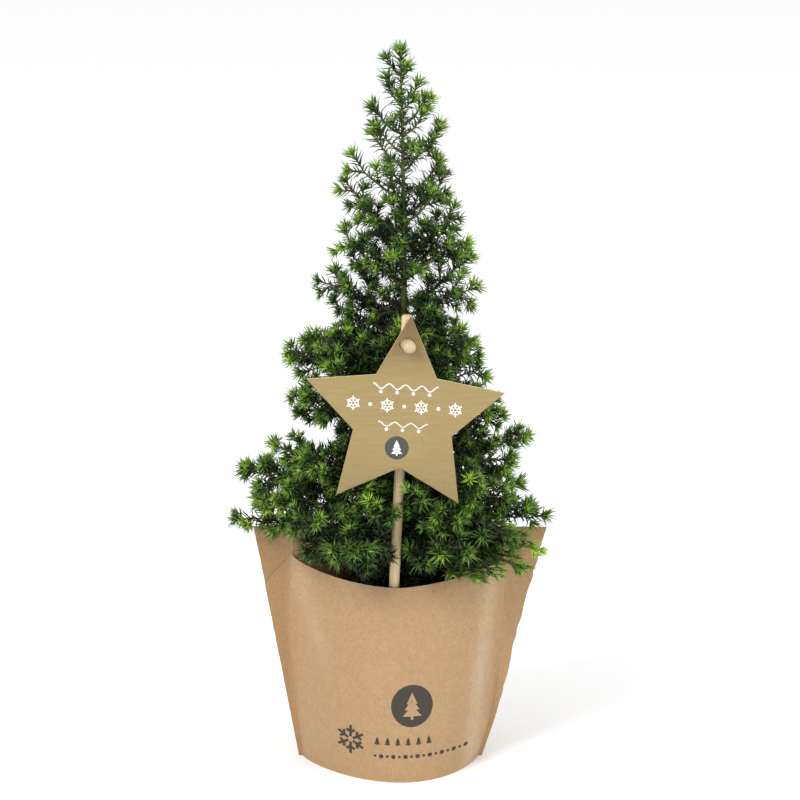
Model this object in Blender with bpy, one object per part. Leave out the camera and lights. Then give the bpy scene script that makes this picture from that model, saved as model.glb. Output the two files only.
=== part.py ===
"""A very small potted Christmas tree in a kraft paper stand-up bag, with a card star on a dowel.

Metres, +Z up, +X to the right, +Y to the back. The origin is the middle of the flat underside
of the bag, on the surface that it stands on. Paper, pot, soil, dowel, star and plant are
separate closed solids, a small gap apart where they touch.
"""
import math

import bmesh
import bpy
from mathutils import Matrix, Vector, noise

MM = 0.001
GAP = 0.3 * MM                    # between solids that touch

# --- bag: two sheets sealed down both sides, on a round gusset --------------------------------
BAG_TOP = 121.4 * MM              # top edge of the back sheet
SEAM_LEFT_FOOT = 47.0 * MM        # from the middle line to the left seam edge, at the foot
SEAM_LEFT_TOP = 69.2 * MM
SEAM_RIGHT_FOOT = 46.2 * MM
SEAM_RIGHT_TOP = 78.2 * MM
FIN_FOOT = 2.5 * MM               # width of the flat sealed seam at the foot
FIN_GROWTH = 18.0 * MM            # how much wider the seam is at the top
RIPPLE = 1.4 * MM                 # how far the right seam swings out, low down
RIPPLE_TOP = 62.0 * MM            # where that swing has died away
BELLY_FOOT = 43.6 * MM            # how far each sheet bulges from the seams at the foot
BELLY_TOP_SHARE = 0.2             # share of that bulge which is left at the top
BELLY_SKEW = 0.18                 # the foot's bulge is fuller on the right by this
SKEW_RISE = 0.35                  # share of the bag's height over which it evens out
SHARPNESS_FOOT = 1.5              # the bulge is nearly round at the foot
SHARPNESS_TOP = 2.3               # and leaves the seams at a slant from half height up
SEAM_SHIFT_TOP = -4.0 * MM        # the seams come forward by this much at the top
SCOOP_LOW = 95.0 * MM             # lowest point of the front sheet's edge
SCOOP_PEAK = 108.5 * MM           # the two points that stand up beside the scoop
SCOOP_CURVE = 1.45                # how slowly the scoop starts to climb from its lowest point
SCOOP_OUTER_DROP = 17.0 * MM      # from a point down to the seam's outer edge
PAPER = 0.5 * MM
FIN_COLUMNS = 2
BELLY_COLUMNS = 18
BELLY_SHARE = BELLY_COLUMNS / (BELLY_COLUMNS + 2 * FIN_COLUMNS)
BAG_ROWS = 8
FLOOR_STEPS = 24
FLOOR_INSET = 0.45 * MM           # the gusset stays inside the sheets by this

# --- pot and root ball ------------------------------------------------------------------------
POT_FOOT_RADIUS = 22.5 * MM
POT_RIM_RADIUS = 31.0 * MM
POT_HEIGHT = 57.0 * MM
POT_WALL = 0.9 * MM
POT_LIP_HEIGHT = 7.0 * MM
POT_LIP_PROUD = 1.0 * MM
SOIL_LEVEL = 51.0 * MM
POT_SIDES = 32

# --- dowel, star and peg ----------------------------------------------------------------------
DOWEL_RADIUS = 2.6 * MM
DOWEL_FOOT = Vector((-2.1, -14.2, 16.0)) * MM
DOWEL_TOP = Vector((8.0, -29.4, 235.8)) * MM
DOWEL_SIDES = 16
STAR_CENTRE = Vector((6.2, -34.2, 185.6)) * MM
STAR_RADIUS = 51.5 * MM
STAR_NOTCH_SHARE = 0.497          # inner radius over outer radius
STAR_TURN = math.radians(4.1)     # clockwise, seen from the front
CARD = 1.0 * MM
PEG_RADIUS = 3.0 * MM
PEG_HOLE_RADIUS = 3.5 * MM
PEG_START = Vector((7.1, -32.7, 222.4)) * MM
PEG_REACH = Vector((3.2, -10.4, -0.3)) * MM
PEG_SIDES = 14

# --- trunk ------------------------------------------------------------------------------------
# height, sideways place, place in depth, radius
TRUNK_STATIONS = [
    (51.3, 1.5, 1.0, 6.2),
    (54.0, 1.7, 1.0, 4.6),
    (60.0, 1.9, 1.0, 3.7),
    (90.0, 3.2, 1.0, 3.2),
    (150.0, 5.5, 0.8, 2.5),
    (210.0, 6.5, 0.4, 1.9),
    (270.0, 6.5, 0.0, 1.25),
    (320.0, 5.8, 0.0, 0.8),
    (366.2, 4.5, 0.0, 0.3),
]
TRUNK_SIDES = 12

# --- crown ------------------------------------------------------------------------------------
MASS_SEGMENTS = 12                # facets round a mass
MASS_RINGS = 8                    # facets along a mass
MASS_GAP = 0.8 * MM               # between two masses
UNEVENNESS = 0.15                 # how much a mass departs from a smooth egg
BOUGH_SIDES = 7
BOUGH_TIP_SHARE = 0.45            # radius where a bough enters its mass, over its radius at the trunk
STAR_BACK_LIMIT = -33.2 * MM      # foliage behind the star stays behind this
POLE_CLEARANCE = 0.9 * MM         # between foliage and the trunk or the dowel
RIM_LIMIT = BAG_TOP + 0.8 * MM    # foliage outside the bag stays above the back sheet
FRONT_RIM_LIMIT = SCOOP_PEAK + 1.1 * MM     # and in front above the points beside the scoop
UNDER_STAR_LIMIT = 139 * MM       # the lowest front masses stay under the star
UPPER_TIERS = 240                 # tiers that leave the trunk higher than this rise above the star
FRONT_LIMIT = 40 * MM             # how far those may come forward
MASS_START_RISE = 0.12            # a mass begins this share of its rise above its bough

# One row for each tier, from the top down: the height where its boughs leave the trunk, the
# height of their tips, and how far the right, left, back and front boughs reach. None where
# the tier has no bough on that side. The last number is the half width of its masses.
TIERS = [
    ("tier_2", 320, 333, 18, 16, None, None, 10),
    ("tier_3", 296, 318, 21, 28, None, 22, 13),
    ("tier_4", 274, 294, 30, 32, None, None, 17),
    ("tier_5", 248, 270, 36, 31, 34, 34, 20),
    ("tier_6", 226, 250, 41, 48, None, None, 22),
    ("tier_7", 194, 213, 42, 63, 46, None, 26),
    ("tier_8", 166, 187, 55, 60, None, None, 28),
    ("tier_9", 140, 165, 69, 69, 60, 34, 29),
    ("tier_10", 122, 146, 64, 86, None, None, 29),
]
THICKNESS_SHARE = 0.69           # half thickness of a mass over its half width
SIDE_SWING = 12                   # degrees by which the tiers turn, to and fro

# The lowest tier spreads over the rim: compass angle, reach, tip height and half width.
SKIRT_ROUND = [
    ("right", -6, 77, 128, 26),
    ("left", 189, 87, 128, 26),
    ("front_left", 236, 64, 121, 26),
    ("front_right", 304, 62, 121, 26),
    ("back_right", 55, 62, 134, 28),
    ("back_left", 125, 62, 134, 28),
]
SKIRT_LEAVE = 117
# Foliage that hangs inside the bag, left and right of the trunk: middle, then half sizes.
INSIDE_BAG = [
    ("left", (-20.5, -5.0, 98.0), (18.0, 7.0, 12.0)),
    ("right", (28.5, -5.0, 98.0), (19.0, 7.0, 12.0)),
]
# The needles of the leading shoot, left and right of the trunk.
SPIRE = [
    ("left", (0.0, 0.0, 350.0), (4.2, 7.0, 14.0)),
    ("right", (9.8, 0.0, 349.0), (4.4, 7.0, 14.0)),
]
BOUGH_RADIUS_SHARE = 0.42         # a bough's radius over the trunk's where it leaves
BOUGH_SAG = 0.04                  # how far its middle hangs, over its length
MASS_START_SHARE = 0.20           # how far along its bough a mass begins


# --- plain helpers ----------------------------------------------------------------------------
def clear_scene():
    for item in list(bpy.data.objects):
        bpy.data.objects.remove(item)


def material(name, colour, roughness, metallic=0.0):
    made = bpy.data.materials.new(name)
    made.use_nodes = True
    shader = made.node_tree.nodes["Principled BSDF"]
    shader.inputs["Base Color"].default_value = (*colour, 1.0)
    shader.inputs["Roughness"].default_value = roughness
    shader.inputs["Metallic"].default_value = metallic
    return made


def new_object(name, shape, finish):
    """Turn a bmesh into a named object with its faces pointing out."""
    bmesh.ops.recalc_face_normals(shape, faces=shape.faces)
    mesh = bpy.data.meshes.new(name)
    shape.to_mesh(mesh)
    shape.free()
    mesh.materials.append(finish)
    made = bpy.data.objects.new(name, mesh)
    bpy.context.collection.objects.link(made)
    return made


def smooth(made, angle=40.0):
    made.data.shade_smooth()
    made.data.set_sharp_from_angle(angle=math.radians(angle))


def cut_with(made, cutter):
    """Cut one solid out of another and keep the cutter as a hidden guide."""
    cutter.hide_render = True
    cutter.display_type = "WIRE"
    cut = made.modifiers.new("cut", "BOOLEAN")
    cut.operation = "DIFFERENCE"
    cut.solver = "EXACT"
    cut.object = cutter


def limb(name, stations, sides, finish, upright=False):
    """A closed, tapering limb through (centre, radius) stations, by extruding a ring."""
    shape = bmesh.new()
    centres = [centre for centre, _ in stations]
    first = bmesh.ops.create_circle(shape, segments=sides, radius=1.0)["verts"]
    ring = list(first)
    for index, (centre, radius) in enumerate(stations):
        before = centres[max(index - 1, 0)]
        after = centres[min(index + 1, len(centres) - 1)]
        along = Vector((0, 0, 1)) if upright else after - before
        turn = Vector((0, 0, 1)).rotation_difference(along).to_matrix().to_4x4()
        if index:
            edges = [shape.edges.get((ring[step - 1], ring[step])) for step in range(sides)]
            grown = bmesh.ops.extrude_edge_only(shape, edges=edges)["geom"]
            ring = matching_ring(ring, grown)
        place = Matrix.Translation(centre) @ turn @ Matrix.Scale(radius, 4)
        for step, vert in enumerate(ring):
            angle = 2 * math.pi * step / sides
            vert.co = place @ Vector((math.cos(angle), math.sin(angle), 0.0))
    bmesh.ops.contextual_create(shape, geom=first)
    bmesh.ops.contextual_create(shape, geom=ring)
    made = new_object(name, shape, finish)
    smooth(made)
    return made


def matching_ring(ring, grown):
    """The extruded vertices in the order of the ring that they came from."""
    new = {item for item in grown if isinstance(item, bmesh.types.BMVert)}
    matched = []
    for vert in ring:
        ends = [edge.other_vert(vert) for edge in vert.link_edges]
        matched.append(next(end for end in ends if end in new))
    return matched


# --- bag --------------------------------------------------------------------------------------
def bag_section(height):
    """Seam edges, fin, bulge, seam depth, sharpness and skew of the bag at one height."""
    rise = height / BAG_TOP
    fin = FIN_FOOT + FIN_GROWTH * rise ** 1.9
    left = -(SEAM_LEFT_FOOT + (SEAM_LEFT_TOP - SEAM_LEFT_FOOT) * rise)
    ripple = RIPPLE * math.sin(math.pi * min(height / RIPPLE_TOP, 1.0))
    right = SEAM_RIGHT_FOOT + (SEAM_RIGHT_TOP - SEAM_RIGHT_FOOT) * rise + ripple
    belly = BELLY_FOOT * (1.0 - (1.0 - BELLY_TOP_SHARE) * rise ** 1.75)
    sharpness = SHARPNESS_FOOT + (SHARPNESS_TOP - SHARPNESS_FOOT) * min(rise / 0.5, 1.0)
    skew = BELLY_SKEW * max(1.0 - rise / SKEW_RISE, 0.0)
    seam = SEAM_SHIFT_TOP * rise ** 2
    return left, right, fin, belly, seam, sharpness, skew


def sheet_point(across, height, side):
    """A point on the inner face of a sheet; across runs from -1 to 1 between the seam edges."""
    left, right, fin, belly, seam, sharpness, skew = bag_section(height)
    if abs(across) <= BELLY_SHARE:
        angle = across / BELLY_SHARE * math.pi / 2
        middle = (left + right) / 2
        half = (right - left) / 2 - fin
        bulge = belly * max(math.cos(angle), 0.0) ** sharpness * (1 + skew * math.sin(angle))
        return Vector((middle + half * math.sin(angle), seam + side * (GAP / 2 + bulge), height))
    along = (abs(across) - BELLY_SHARE) / (1 - BELLY_SHARE)
    edge = right - fin + fin * along if across > 0 else left + fin - fin * along
    return Vector((edge, seam + side * GAP / 2, height))


def front_edge_height(across):
    """Height of the front sheet's top edge: a scoop between two points, then a fall."""
    if abs(across) <= BELLY_SHARE:
        return SCOOP_LOW + (SCOOP_PEAK - SCOOP_LOW) * (abs(across) / BELLY_SHARE) ** SCOOP_CURVE
    along = (abs(across) - BELLY_SHARE) / (1 - BELLY_SHARE)
    return SCOOP_PEAK - SCOOP_OUTER_DROP * along ** 0.8


def bag_sheet(name, side, edge_height, finish):
    """One sheet of the bag: a grid bent to its place and thickened outwards."""
    columns = BELLY_COLUMNS + 2 * FIN_COLUMNS
    shape = bmesh.new()
    bmesh.ops.create_grid(shape, x_segments=columns, y_segments=BAG_ROWS, size=1.0)
    for vert in shape.verts:
        across = vert.co.x
        height = (vert.co.y + 1) / 2 * edge_height(across)
        vert.co = sheet_point(across, height, side)
    bmesh.ops.recalc_face_normals(shape, faces=shape.faces)
    shape.normal_update()
    facing = sum(face.normal.y * face.calc_area() for face in shape.faces)
    if facing * side < 0:
        bmesh.ops.reverse_faces(shape, faces=shape.faces)
    shape.normal_update()
    mesh = bpy.data.meshes.new(name)
    shape.to_mesh(mesh)
    shape.free()
    mesh.materials.append(finish)
    made = bpy.data.objects.new(name, mesh)
    bpy.context.collection.objects.link(made)
    wall = made.modifiers.new("paper thickness", "SOLIDIFY")
    wall.thickness = PAPER
    wall.offset = 1.0
    smooth(made)
    return made


def bag_floor(finish):
    """The round gusset that the bag stands on, just inside the two sheets."""
    shape = bmesh.new()
    rim = []
    for side in (-1, 1):
        steps = [-1 + 2 * step / FLOOR_STEPS for step in range(FLOOR_STEPS + 1)]
        if side > 0:
            steps = steps[-2:0:-1]
        for step in steps:
            point = sheet_point(step * BELLY_SHARE, 0.0, side)
            inward = Vector((point.x, point.y, 0)).normalized() * FLOOR_INSET
            rim.append(shape.verts.new(point - inward))
    shape.faces.new(rim)
    grown = bmesh.ops.extrude_face_region(shape, geom=list(shape.faces))["geom"]
    lifted = [item for item in grown if isinstance(item, bmesh.types.BMVert)]
    bmesh.ops.translate(shape, verts=lifted, vec=(0, 0, PAPER))
    new_object("bag_base", shape, finish)


# --- pot, root ball, dowel and star -----------------------------------------------------------
def turned(name, profile, finish):
    """A solid of revolution about the vertical through the origin from (radius, height) pairs."""
    shape = bmesh.new()
    points = [shape.verts.new((radius, 0.0, height)) for radius, height in profile]
    edges = [shape.edges.new((first, second)) for first, second in zip(points, points[1:])]
    bmesh.ops.spin(shape, geom=points + edges, cent=(0, 0, 0), axis=(0, 0, 1),
                   angle=2 * math.pi, steps=POT_SIDES, use_merge=True)
    bmesh.ops.remove_doubles(shape, verts=shape.verts, dist=1e-6)
    made = new_object(name, shape, finish)
    smooth(made, 30)
    return made


def pot_and_root_ball(plastic, compost):
    foot = PAPER + GAP
    lip_foot = POT_HEIGHT - POT_LIP_HEIGHT
    slope = (POT_RIM_RADIUS - POT_LIP_PROUD - POT_FOOT_RADIUS) / (lip_foot - foot)
    body_top = POT_FOOT_RADIUS + slope * (lip_foot - foot)
    turned("pot", [
        (0.0, foot),
        (POT_FOOT_RADIUS, foot),
        (body_top, lip_foot),
        (body_top + POT_LIP_PROUD, lip_foot),
        (POT_RIM_RADIUS, POT_HEIGHT),
        (POT_RIM_RADIUS - POT_WALL, POT_HEIGHT),
        (POT_FOOT_RADIUS - POT_WALL, foot + POT_WALL),
        (0.0, foot + POT_WALL),
    ], plastic)
    ball_foot = foot + POT_WALL + GAP
    inner_slope = (POT_RIM_RADIUS - POT_FOOT_RADIUS) / (POT_HEIGHT - foot - POT_WALL)
    ball_foot_radius = POT_FOOT_RADIUS - POT_WALL - 2 * GAP
    ball = turned("root_ball", [
        (0.0, ball_foot),
        (ball_foot_radius, ball_foot),
        (ball_foot_radius + inner_slope * (SOIL_LEVEL - ball_foot), SOIL_LEVEL),
        (0.0, SOIL_LEVEL),
    ], compost)
    hole = dowel_solid("dowel_hole", DOWEL_RADIUS + GAP, -GAP, compost)
    cut_with(ball, hole)


def dowel_at(height):
    """Where the dowel's axis is at a height."""
    share = (height - DOWEL_FOOT.z) / (DOWEL_TOP.z - DOWEL_FOOT.z)
    return DOWEL_FOOT.lerp(DOWEL_TOP, share)


def dowel_solid(name, radius, foot_shift, finish):
    along = DOWEL_TOP - DOWEL_FOOT
    foot = DOWEL_FOOT + along.normalized() * foot_shift
    shape = bmesh.new()
    bmesh.ops.create_cone(shape, cap_ends=True, segments=DOWEL_SIDES, radius1=radius,
                          radius2=radius, depth=(DOWEL_TOP - foot).length)
    turn = Vector((0, 0, 1)).rotation_difference(along).to_matrix().to_4x4()
    middle = (foot + DOWEL_TOP) / 2
    bmesh.ops.transform(shape, matrix=Matrix.Translation(middle) @ turn, verts=shape.verts)
    made = new_object(name, shape, finish)
    smooth(made)
    return made


def star_card(finish):
    shape = bmesh.new()
    rim = []
    for step in range(10):
        radius = STAR_RADIUS * (1.0 if step % 2 == 0 else STAR_NOTCH_SHARE)
        angle = math.pi / 2 - STAR_TURN - step * math.pi / 5
        point = Vector((radius * math.cos(angle), -CARD / 2, radius * math.sin(angle)))
        rim.append(shape.verts.new(STAR_CENTRE + point))
    shape.faces.new(rim)
    grown = bmesh.ops.extrude_face_region(shape, geom=list(shape.faces))["geom"]
    back = [item for item in grown if isinstance(item, bmesh.types.BMVert)]
    bmesh.ops.translate(shape, verts=back, vec=(0, CARD, 0))
    star = new_object("star", shape, finish)
    hole = bmesh.new()
    bmesh.ops.create_cone(hole, cap_ends=True, segments=20, radius1=PEG_HOLE_RADIUS,
                          radius2=PEG_HOLE_RADIUS, depth=10 * CARD)
    turn = Vector((0, 0, 1)).rotation_difference(PEG_REACH).to_matrix().to_4x4()
    share = (STAR_CENTRE.y - PEG_START.y) / PEG_REACH.y
    middle = PEG_START + PEG_REACH * share
    bmesh.ops.transform(hole, matrix=Matrix.Translation(middle) @ turn, verts=hole.verts)
    cut_with(star, new_object("peg_hole", hole, finish))


def star_peg(finish):
    """A short round-ended dowel that holds the star in front of the long one."""
    along = PEG_REACH.normalized()
    length = PEG_REACH.length
    straight = length - PEG_RADIUS
    stations = [(0.0, 1.0), (straight, 1.0)]
    for step in range(1, 4):
        angle = step * math.pi / 8
        stations.append((straight + PEG_RADIUS * math.sin(angle), math.cos(angle)))
    limb("peg", [(PEG_START + along * place, PEG_RADIUS * share) for place, share in stations],
         PEG_SIDES, finish)


# --- plant ------------------------------------------------------------------------------------
def trunk_at(height):
    """Centre and radius of the trunk at a height."""
    rows = TRUNK_STATIONS
    for low, high in zip(rows, rows[1:]):
        if height <= high[0] * MM or high is rows[-1]:
            share = (height / MM - low[0]) / (high[0] - low[0])
            row = [one + (two - one) * share for one, two in zip(low, high)]
            return Vector((row[1] * MM, row[2] * MM, height)), max(row[3], 0.3) * MM
    return None


class Mass:
    """One mass of needles: an uneven egg on its bough's axis, and the planes that bound it."""

    def __init__(self, name, start, tip, half_width, half_thickness):
        self.name = name
        self.start = start
        self.tip = tip
        self.centre = (start + tip) / 2
        along = tip - start
        self.half = (along.length / 2, half_width, half_thickness)
        first = along.normalized()
        across = Vector((0, 0, 1)).cross(first)
        if across.length < 0.05:
            across = Vector((0, 1, 0))
        second = across.normalized()
        self.axes = (first, second, first.cross(second))
        self.planes = []

    def spread(self, direction):
        """How far the mass reaches from its centre in a direction."""
        total = sum((half * axis.dot(direction)) ** 2 for half, axis in zip(self.half, self.axes))
        return math.sqrt(total) * (1 + UNEVENNESS)

    def bound(self, normal, distance):
        self.planes.append((normal, max(distance, 0.5 * MM)))

    def bound_at(self, normal, limit):
        """Keep the mass on the near side of the plane normal . p = limit."""
        self.bound(normal, limit - normal.dot(self.centre))


def part_masses(masses):
    """Give each pair of masses that would meet one plane between them, with a gap."""
    for index, one in enumerate(masses):
        for two in masses[index + 1:]:
            between = two.centre - one.centre
            distance = between.length
            direction = between.normalized()
            reach_one = one.spread(direction)
            reach_two = two.spread(direction)
            if reach_one + reach_two + MASS_GAP < distance:
                continue
            share = reach_one / (reach_one + reach_two)
            one.bound(direction, distance * share - MASS_GAP / 2)
            two.bound(-direction, distance * (1 - share) - MASS_GAP / 2)


def bound_by_poles(mass):
    """Keep a mass on its own side of the trunk, and of the dowel where that stands."""
    poles = [trunk_at(mass.centre.z)]
    if mass.centre.z - mass.half[1] < DOWEL_TOP.z + DOWEL_RADIUS:
        poles.append((dowel_at(mass.centre.z), DOWEL_RADIUS))
    for centre, radius in poles:
        away = mass.centre - centre
        away.z = 0.0
        mass.bound(-away.normalized(), away.length - radius - POLE_CLEARANCE)


def grow_mass(mass, finish):
    """Shape a mass: an egg, made uneven by smooth noise, then held inside its planes."""
    shape = bmesh.new()
    bmesh.ops.create_uvsphere(shape, u_segments=MASS_SEGMENTS, v_segments=MASS_RINGS, radius=1.0)
    seed = Vector((mass.centre.x, mass.centre.y, mass.centre.z)) / (60 * MM)
    for vert in shape.verts:
        unit = vert.co.normalized()
        along = unit.z
        waist = 1.0 - 0.22 * along
        uneven = 1 + UNEVENNESS * 1.8 * noise.noise(unit * 1.7 + seed * 7) * (1 - along ** 4)
        local = (along * mass.half[0],
                 unit.x * mass.half[1] * waist * uneven,
                 unit.y * mass.half[2] * waist * uneven)
        offset = sum((axis * value for axis, value in zip(mass.axes, local)), Vector())
        length = offset.length
        direction = offset.normalized()
        for normal, distance in mass.planes:
            lean = normal.dot(direction)
            if lean > 1e-6:
                length = min(length, distance / lean)
        vert.co = mass.centre + direction * length
    bmesh.ops.triangulate(shape, faces=shape.faces)
    made = new_object(mass.name, shape, finish)
    smooth(made, 60)


def tier_rows():
    """Every bough of the tiers: name, compass angle, leaving height, tip height, reach, width."""
    for index, (tier, leave, tip, right, left, back, front, width) in enumerate(TIERS):
        swing = SIDE_SWING * (1 if index % 2 else -1)
        front_angle = 262 if leave > UPPER_TIERS else (232 if index % 4 == 1 else 308)
        for side, angle, reach in (("right", swing, right), ("left", 180 + swing, left),
                                   ("back", 90 + swing, back), ("front", front_angle, front)):
            if reach:
                yield tier + "_" + side, angle, leave, tip, reach, width


def plant(bark, needles):
    masses = []
    boughs = []
    rows = list(tier_rows())
    rows += [("tier_11_" + side, angle, SKIRT_LEAVE, tip, reach, width)
             for side, angle, reach, tip, width in SKIRT_ROUND]
    for name, angle, leave, tip, reach, width in rows:
        foot, radius = trunk_at(leave * MM)
        crown_axis = trunk_at(tip * MM)[0]
        turn = math.radians(angle)
        outward = Vector((math.cos(turn), math.sin(turn), 0.0))
        end = crown_axis + outward * reach * MM
        stretch = end - foot
        start = foot + stretch * MASS_START_SHARE
        start.z += MASS_START_RISE * abs(stretch.z)
        mass = Mass("foliage_" + name, start, end, width * MM, width * THICKNESS_SHARE * MM)
        if name.startswith("tier_11"):
            limit = FRONT_RIM_LIMIT if "front" in name else RIM_LIMIT
            mass.bound_at(Vector((0, 0, -1)), -limit)
        if name.startswith("tier_11_front"):
            mass.bound_at(Vector((0, 0, 1)), UNDER_STAR_LIMIT)
        else:
            mass.bound_at(Vector((0, -1, 0)), -STAR_BACK_LIMIT if leave < UPPER_TIERS else FRONT_LIMIT)
        bound_by_poles(mass)
        masses.append(mass)
        if name.endswith("right") or name.endswith("left"):
            boughs.append((name, foot, radius, start))
    for name, centre, half in INSIDE_BAG:
        middle = Vector(centre) * MM
        reach = Vector((half[0] * MM, 0, 0))
        mass = Mass("foliage_inside_bag_" + name, middle - reach, middle + reach,
                    half[1] * MM, half[2] * MM)
        bound_by_poles(mass)
        masses.append(mass)
    for name, centre, half in SPIRE:
        middle = Vector(centre) * MM
        reach = Vector((0, 0, half[2] * MM))
        mass = Mass("foliage_spire_" + name, middle - reach, middle + reach,
                    half[1] * MM, half[0] * MM)
        bound_by_poles(mass)
        masses.append(mass)
    part_masses(masses)
    for mass in masses:
        grow_mass(mass, needles)
    for name, foot, radius, start in boughs:
        if name.startswith(("tier_11", "tier_2_")):
            continue
        along = (start - foot).normalized()
        lean = math.sqrt(max(1 - along.z ** 2, 0.05))
        first = foot + along * ((radius + GAP) / lean + BOUGH_RADIUS_SHARE * radius)
        last = start - along * GAP * 2
        middle = (first + last) / 2 - Vector((0, 0, BOUGH_SAG * (last - first).length))
        thick = radius * BOUGH_RADIUS_SHARE
        limb("bough_" + name, [(first, thick), (middle, thick * (1 + BOUGH_TIP_SHARE) / 2),
                               (last, thick * BOUGH_TIP_SHARE)], BOUGH_SIDES, bark)
    limb("trunk", [(Vector((across, depth, height)) * MM, radius * MM)
                   for height, across, depth, radius in TRUNK_STATIONS], TRUNK_SIDES, bark, upright=True)


# --- the whole part ---------------------------------------------------------------------------
clear_scene()
KRAFT = material("kraft_paper", (0.578, 0.371, 0.191), 0.72)
PLASTIC = material("pot_plastic", (0.02, 0.02, 0.02), 0.5)
COMPOST = material("compost", (0.03, 0.018, 0.01), 0.95)
DOWEL_WOOD = material("dowel_wood", (0.45, 0.30, 0.16), 0.6)
CARD_GOLD = material("gold_card", (0.45, 0.33, 0.14), 0.45)
PEG_WOOD = material("peg_wood", (0.86, 0.67, 0.43), 0.55)
BARK = material("bark", (0.14, 0.11, 0.05), 0.85)
NEEDLES = material("needles", (0.06, 0.14, 0.025), 0.55)

bag_sheet("bag_front", -1, front_edge_height, KRAFT)
bag_sheet("bag_back", 1, lambda across: BAG_TOP, KRAFT)
bag_floor(KRAFT)
pot_and_root_ball(PLASTIC, COMPOST)
dowel_solid("dowel", DOWEL_RADIUS, 0.0, DOWEL_WOOD)
star_card(CARD_GOLD)
star_peg(PEG_WOOD)
plant(BARK, NEEDLES)
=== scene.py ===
"""Looks of the very small potted Christmas tree in its kraft paper bag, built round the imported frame."""
import math

import bmesh
import bpy
import numpy as np
from mathutils import Matrix, Vector, noise
from mathutils.bvhtree import BVHTree


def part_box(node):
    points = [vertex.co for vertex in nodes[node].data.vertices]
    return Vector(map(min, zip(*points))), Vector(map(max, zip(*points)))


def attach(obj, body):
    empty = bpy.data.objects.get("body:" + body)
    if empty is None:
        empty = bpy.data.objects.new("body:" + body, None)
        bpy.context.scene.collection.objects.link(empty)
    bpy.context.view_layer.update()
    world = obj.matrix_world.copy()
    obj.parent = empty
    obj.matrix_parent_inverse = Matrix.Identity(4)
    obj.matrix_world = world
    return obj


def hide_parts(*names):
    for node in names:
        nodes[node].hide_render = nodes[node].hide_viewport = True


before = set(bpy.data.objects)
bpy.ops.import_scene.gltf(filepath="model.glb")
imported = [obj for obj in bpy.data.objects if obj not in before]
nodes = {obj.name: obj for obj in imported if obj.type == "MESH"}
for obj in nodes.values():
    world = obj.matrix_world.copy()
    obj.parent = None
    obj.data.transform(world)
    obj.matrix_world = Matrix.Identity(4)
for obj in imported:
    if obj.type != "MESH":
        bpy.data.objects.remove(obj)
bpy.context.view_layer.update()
scene = bpy.context.scene

# ---------------------------------------------------------------------------------------------
# Camera: a long lens aimed at the middle of the tree from a little above it, so that the upright
# lines of tree and bag stay almost parallel.
MM = 0.001
CAMERA_DISTANCE = 2.2
CAMERA_PITCH = math.radians(13.5)
CAMERA_AIM = Vector((4.5 * MM, 0.0, 186.1 * MM))
LENS = 198.0
SENSOR = 36.0

camera_data = bpy.data.cameras.new("camera")
camera_data.lens = LENS
camera_data.sensor_width = SENSOR
camera = bpy.data.objects.new("camera", camera_data)
scene.collection.objects.link(camera)
gaze = Vector((0.0, math.cos(CAMERA_PITCH), -math.sin(CAMERA_PITCH)))
camera.location = CAMERA_AIM - gaze * CAMERA_DISTANCE
camera.rotation_euler = (math.pi / 2 - CAMERA_PITCH, 0.0, 0.0)
scene.camera = camera
scene.view_settings.view_transform = "Standard"

# ---------------------------------------------------------------------------------------------
# Kraft bag: two sheets of brown paper, heat-sealed to each other down both sides and to a round
# gusset at the foot. The front sheet has a scooped edge between two points; the back one is
# straight. The belly is round at the foot and nearly flat at the top.
PAPER = 0.45 * MM
PAPER_PROUD = 0.05 * MM           # how far the sheets keep off each other at the seams
SEAM_FIN_FOOT = 2.5 * MM
SEAM_FIN_GROWTH = 18.0 * MM
SEAM_RIPPLE = 1.4 * MM            # of the right seam, up to RIPPLE_TOP
RIPPLE_TOP = 62 * MM
EDGE_WAVE = 0.30 * MM             # of the seams' outer edges
SEAM_FOOT = 46.6 * MM             # half the width of the bag at its foot
BELLY_FOOT = 43.6 * MM            # how far each sheet bulges at the foot
BELLY_SKEW = 0.18                 # and how much fuller that is on the right
SHARPNESS = (1.5, 2.3)            # of the bulge at the foot, and from half height up
SCOOP_DROP = 13.5 * MM            # depth of the scoop below its two points
SCOOP_CURVE = 1.45
SCOOP_OUTER_DROP = 17.0 * MM
SHEET_COLUMNS = 132
SHEET_ROWS = 72
FIN_SHARE = 2.0 / 22.0            # share of the sheet's columns in each seam
BODY_SHARE = 1 - 2 * FIN_SHARE    # and how far the bulge between the seams runs, out of 1
GUSSET_SIDES = 72
SEAM_STAGGER = 0.4 * MM           # how far the foot is off the middle
# Soft creases: place across, width, depth in millimetres, and the heights between which they run.
CREASES = ((-0.80, 0.055, -0.9, 0.15, 1.0), (0.83, 0.05, -1.0, 0.0, 0.9), (-0.62, 0.07, 0.5, 0.0, 0.6),
           (0.66, 0.05, 0.55, 0.1, 0.75), (0.30, 0.10, 0.25, 0.3, 1.0), (-0.25, 0.12, 0.3, 0.4, 1.0))
# The painted highlights at the folds, pale bands standing in for the sheen of the light where the paper
# turns: where each is at the top height below and how far it moves inwards going down.
SHEEN_TOP = 103 * MM
SHEEN_LEFT = (-48.5 * MM, 0.32)
SHEEN_RIGHT = (51.5 * MM, 0.12)
SHEEN_LEFT_END = 44 * MM
SHEEN_FADE = 22 * MM               # the left one fades out over this height above its end
SHEEN_WIDTH = 4.2 * MM
# How soft the edge of the painted shade on the seam fins is.
SEAM_SHADE_BLUR = 2.5 * MM
# The tint of the painted highlight in the fold bands.
PAINTED_SHEEN_TINT = (1.13, 1.24, 1.45)
# The tint of the painted shade on the seam fins, where they turn away from the light.
SEAM_SHADE_TINT = (0.88, 0.80, 0.72)

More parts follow.
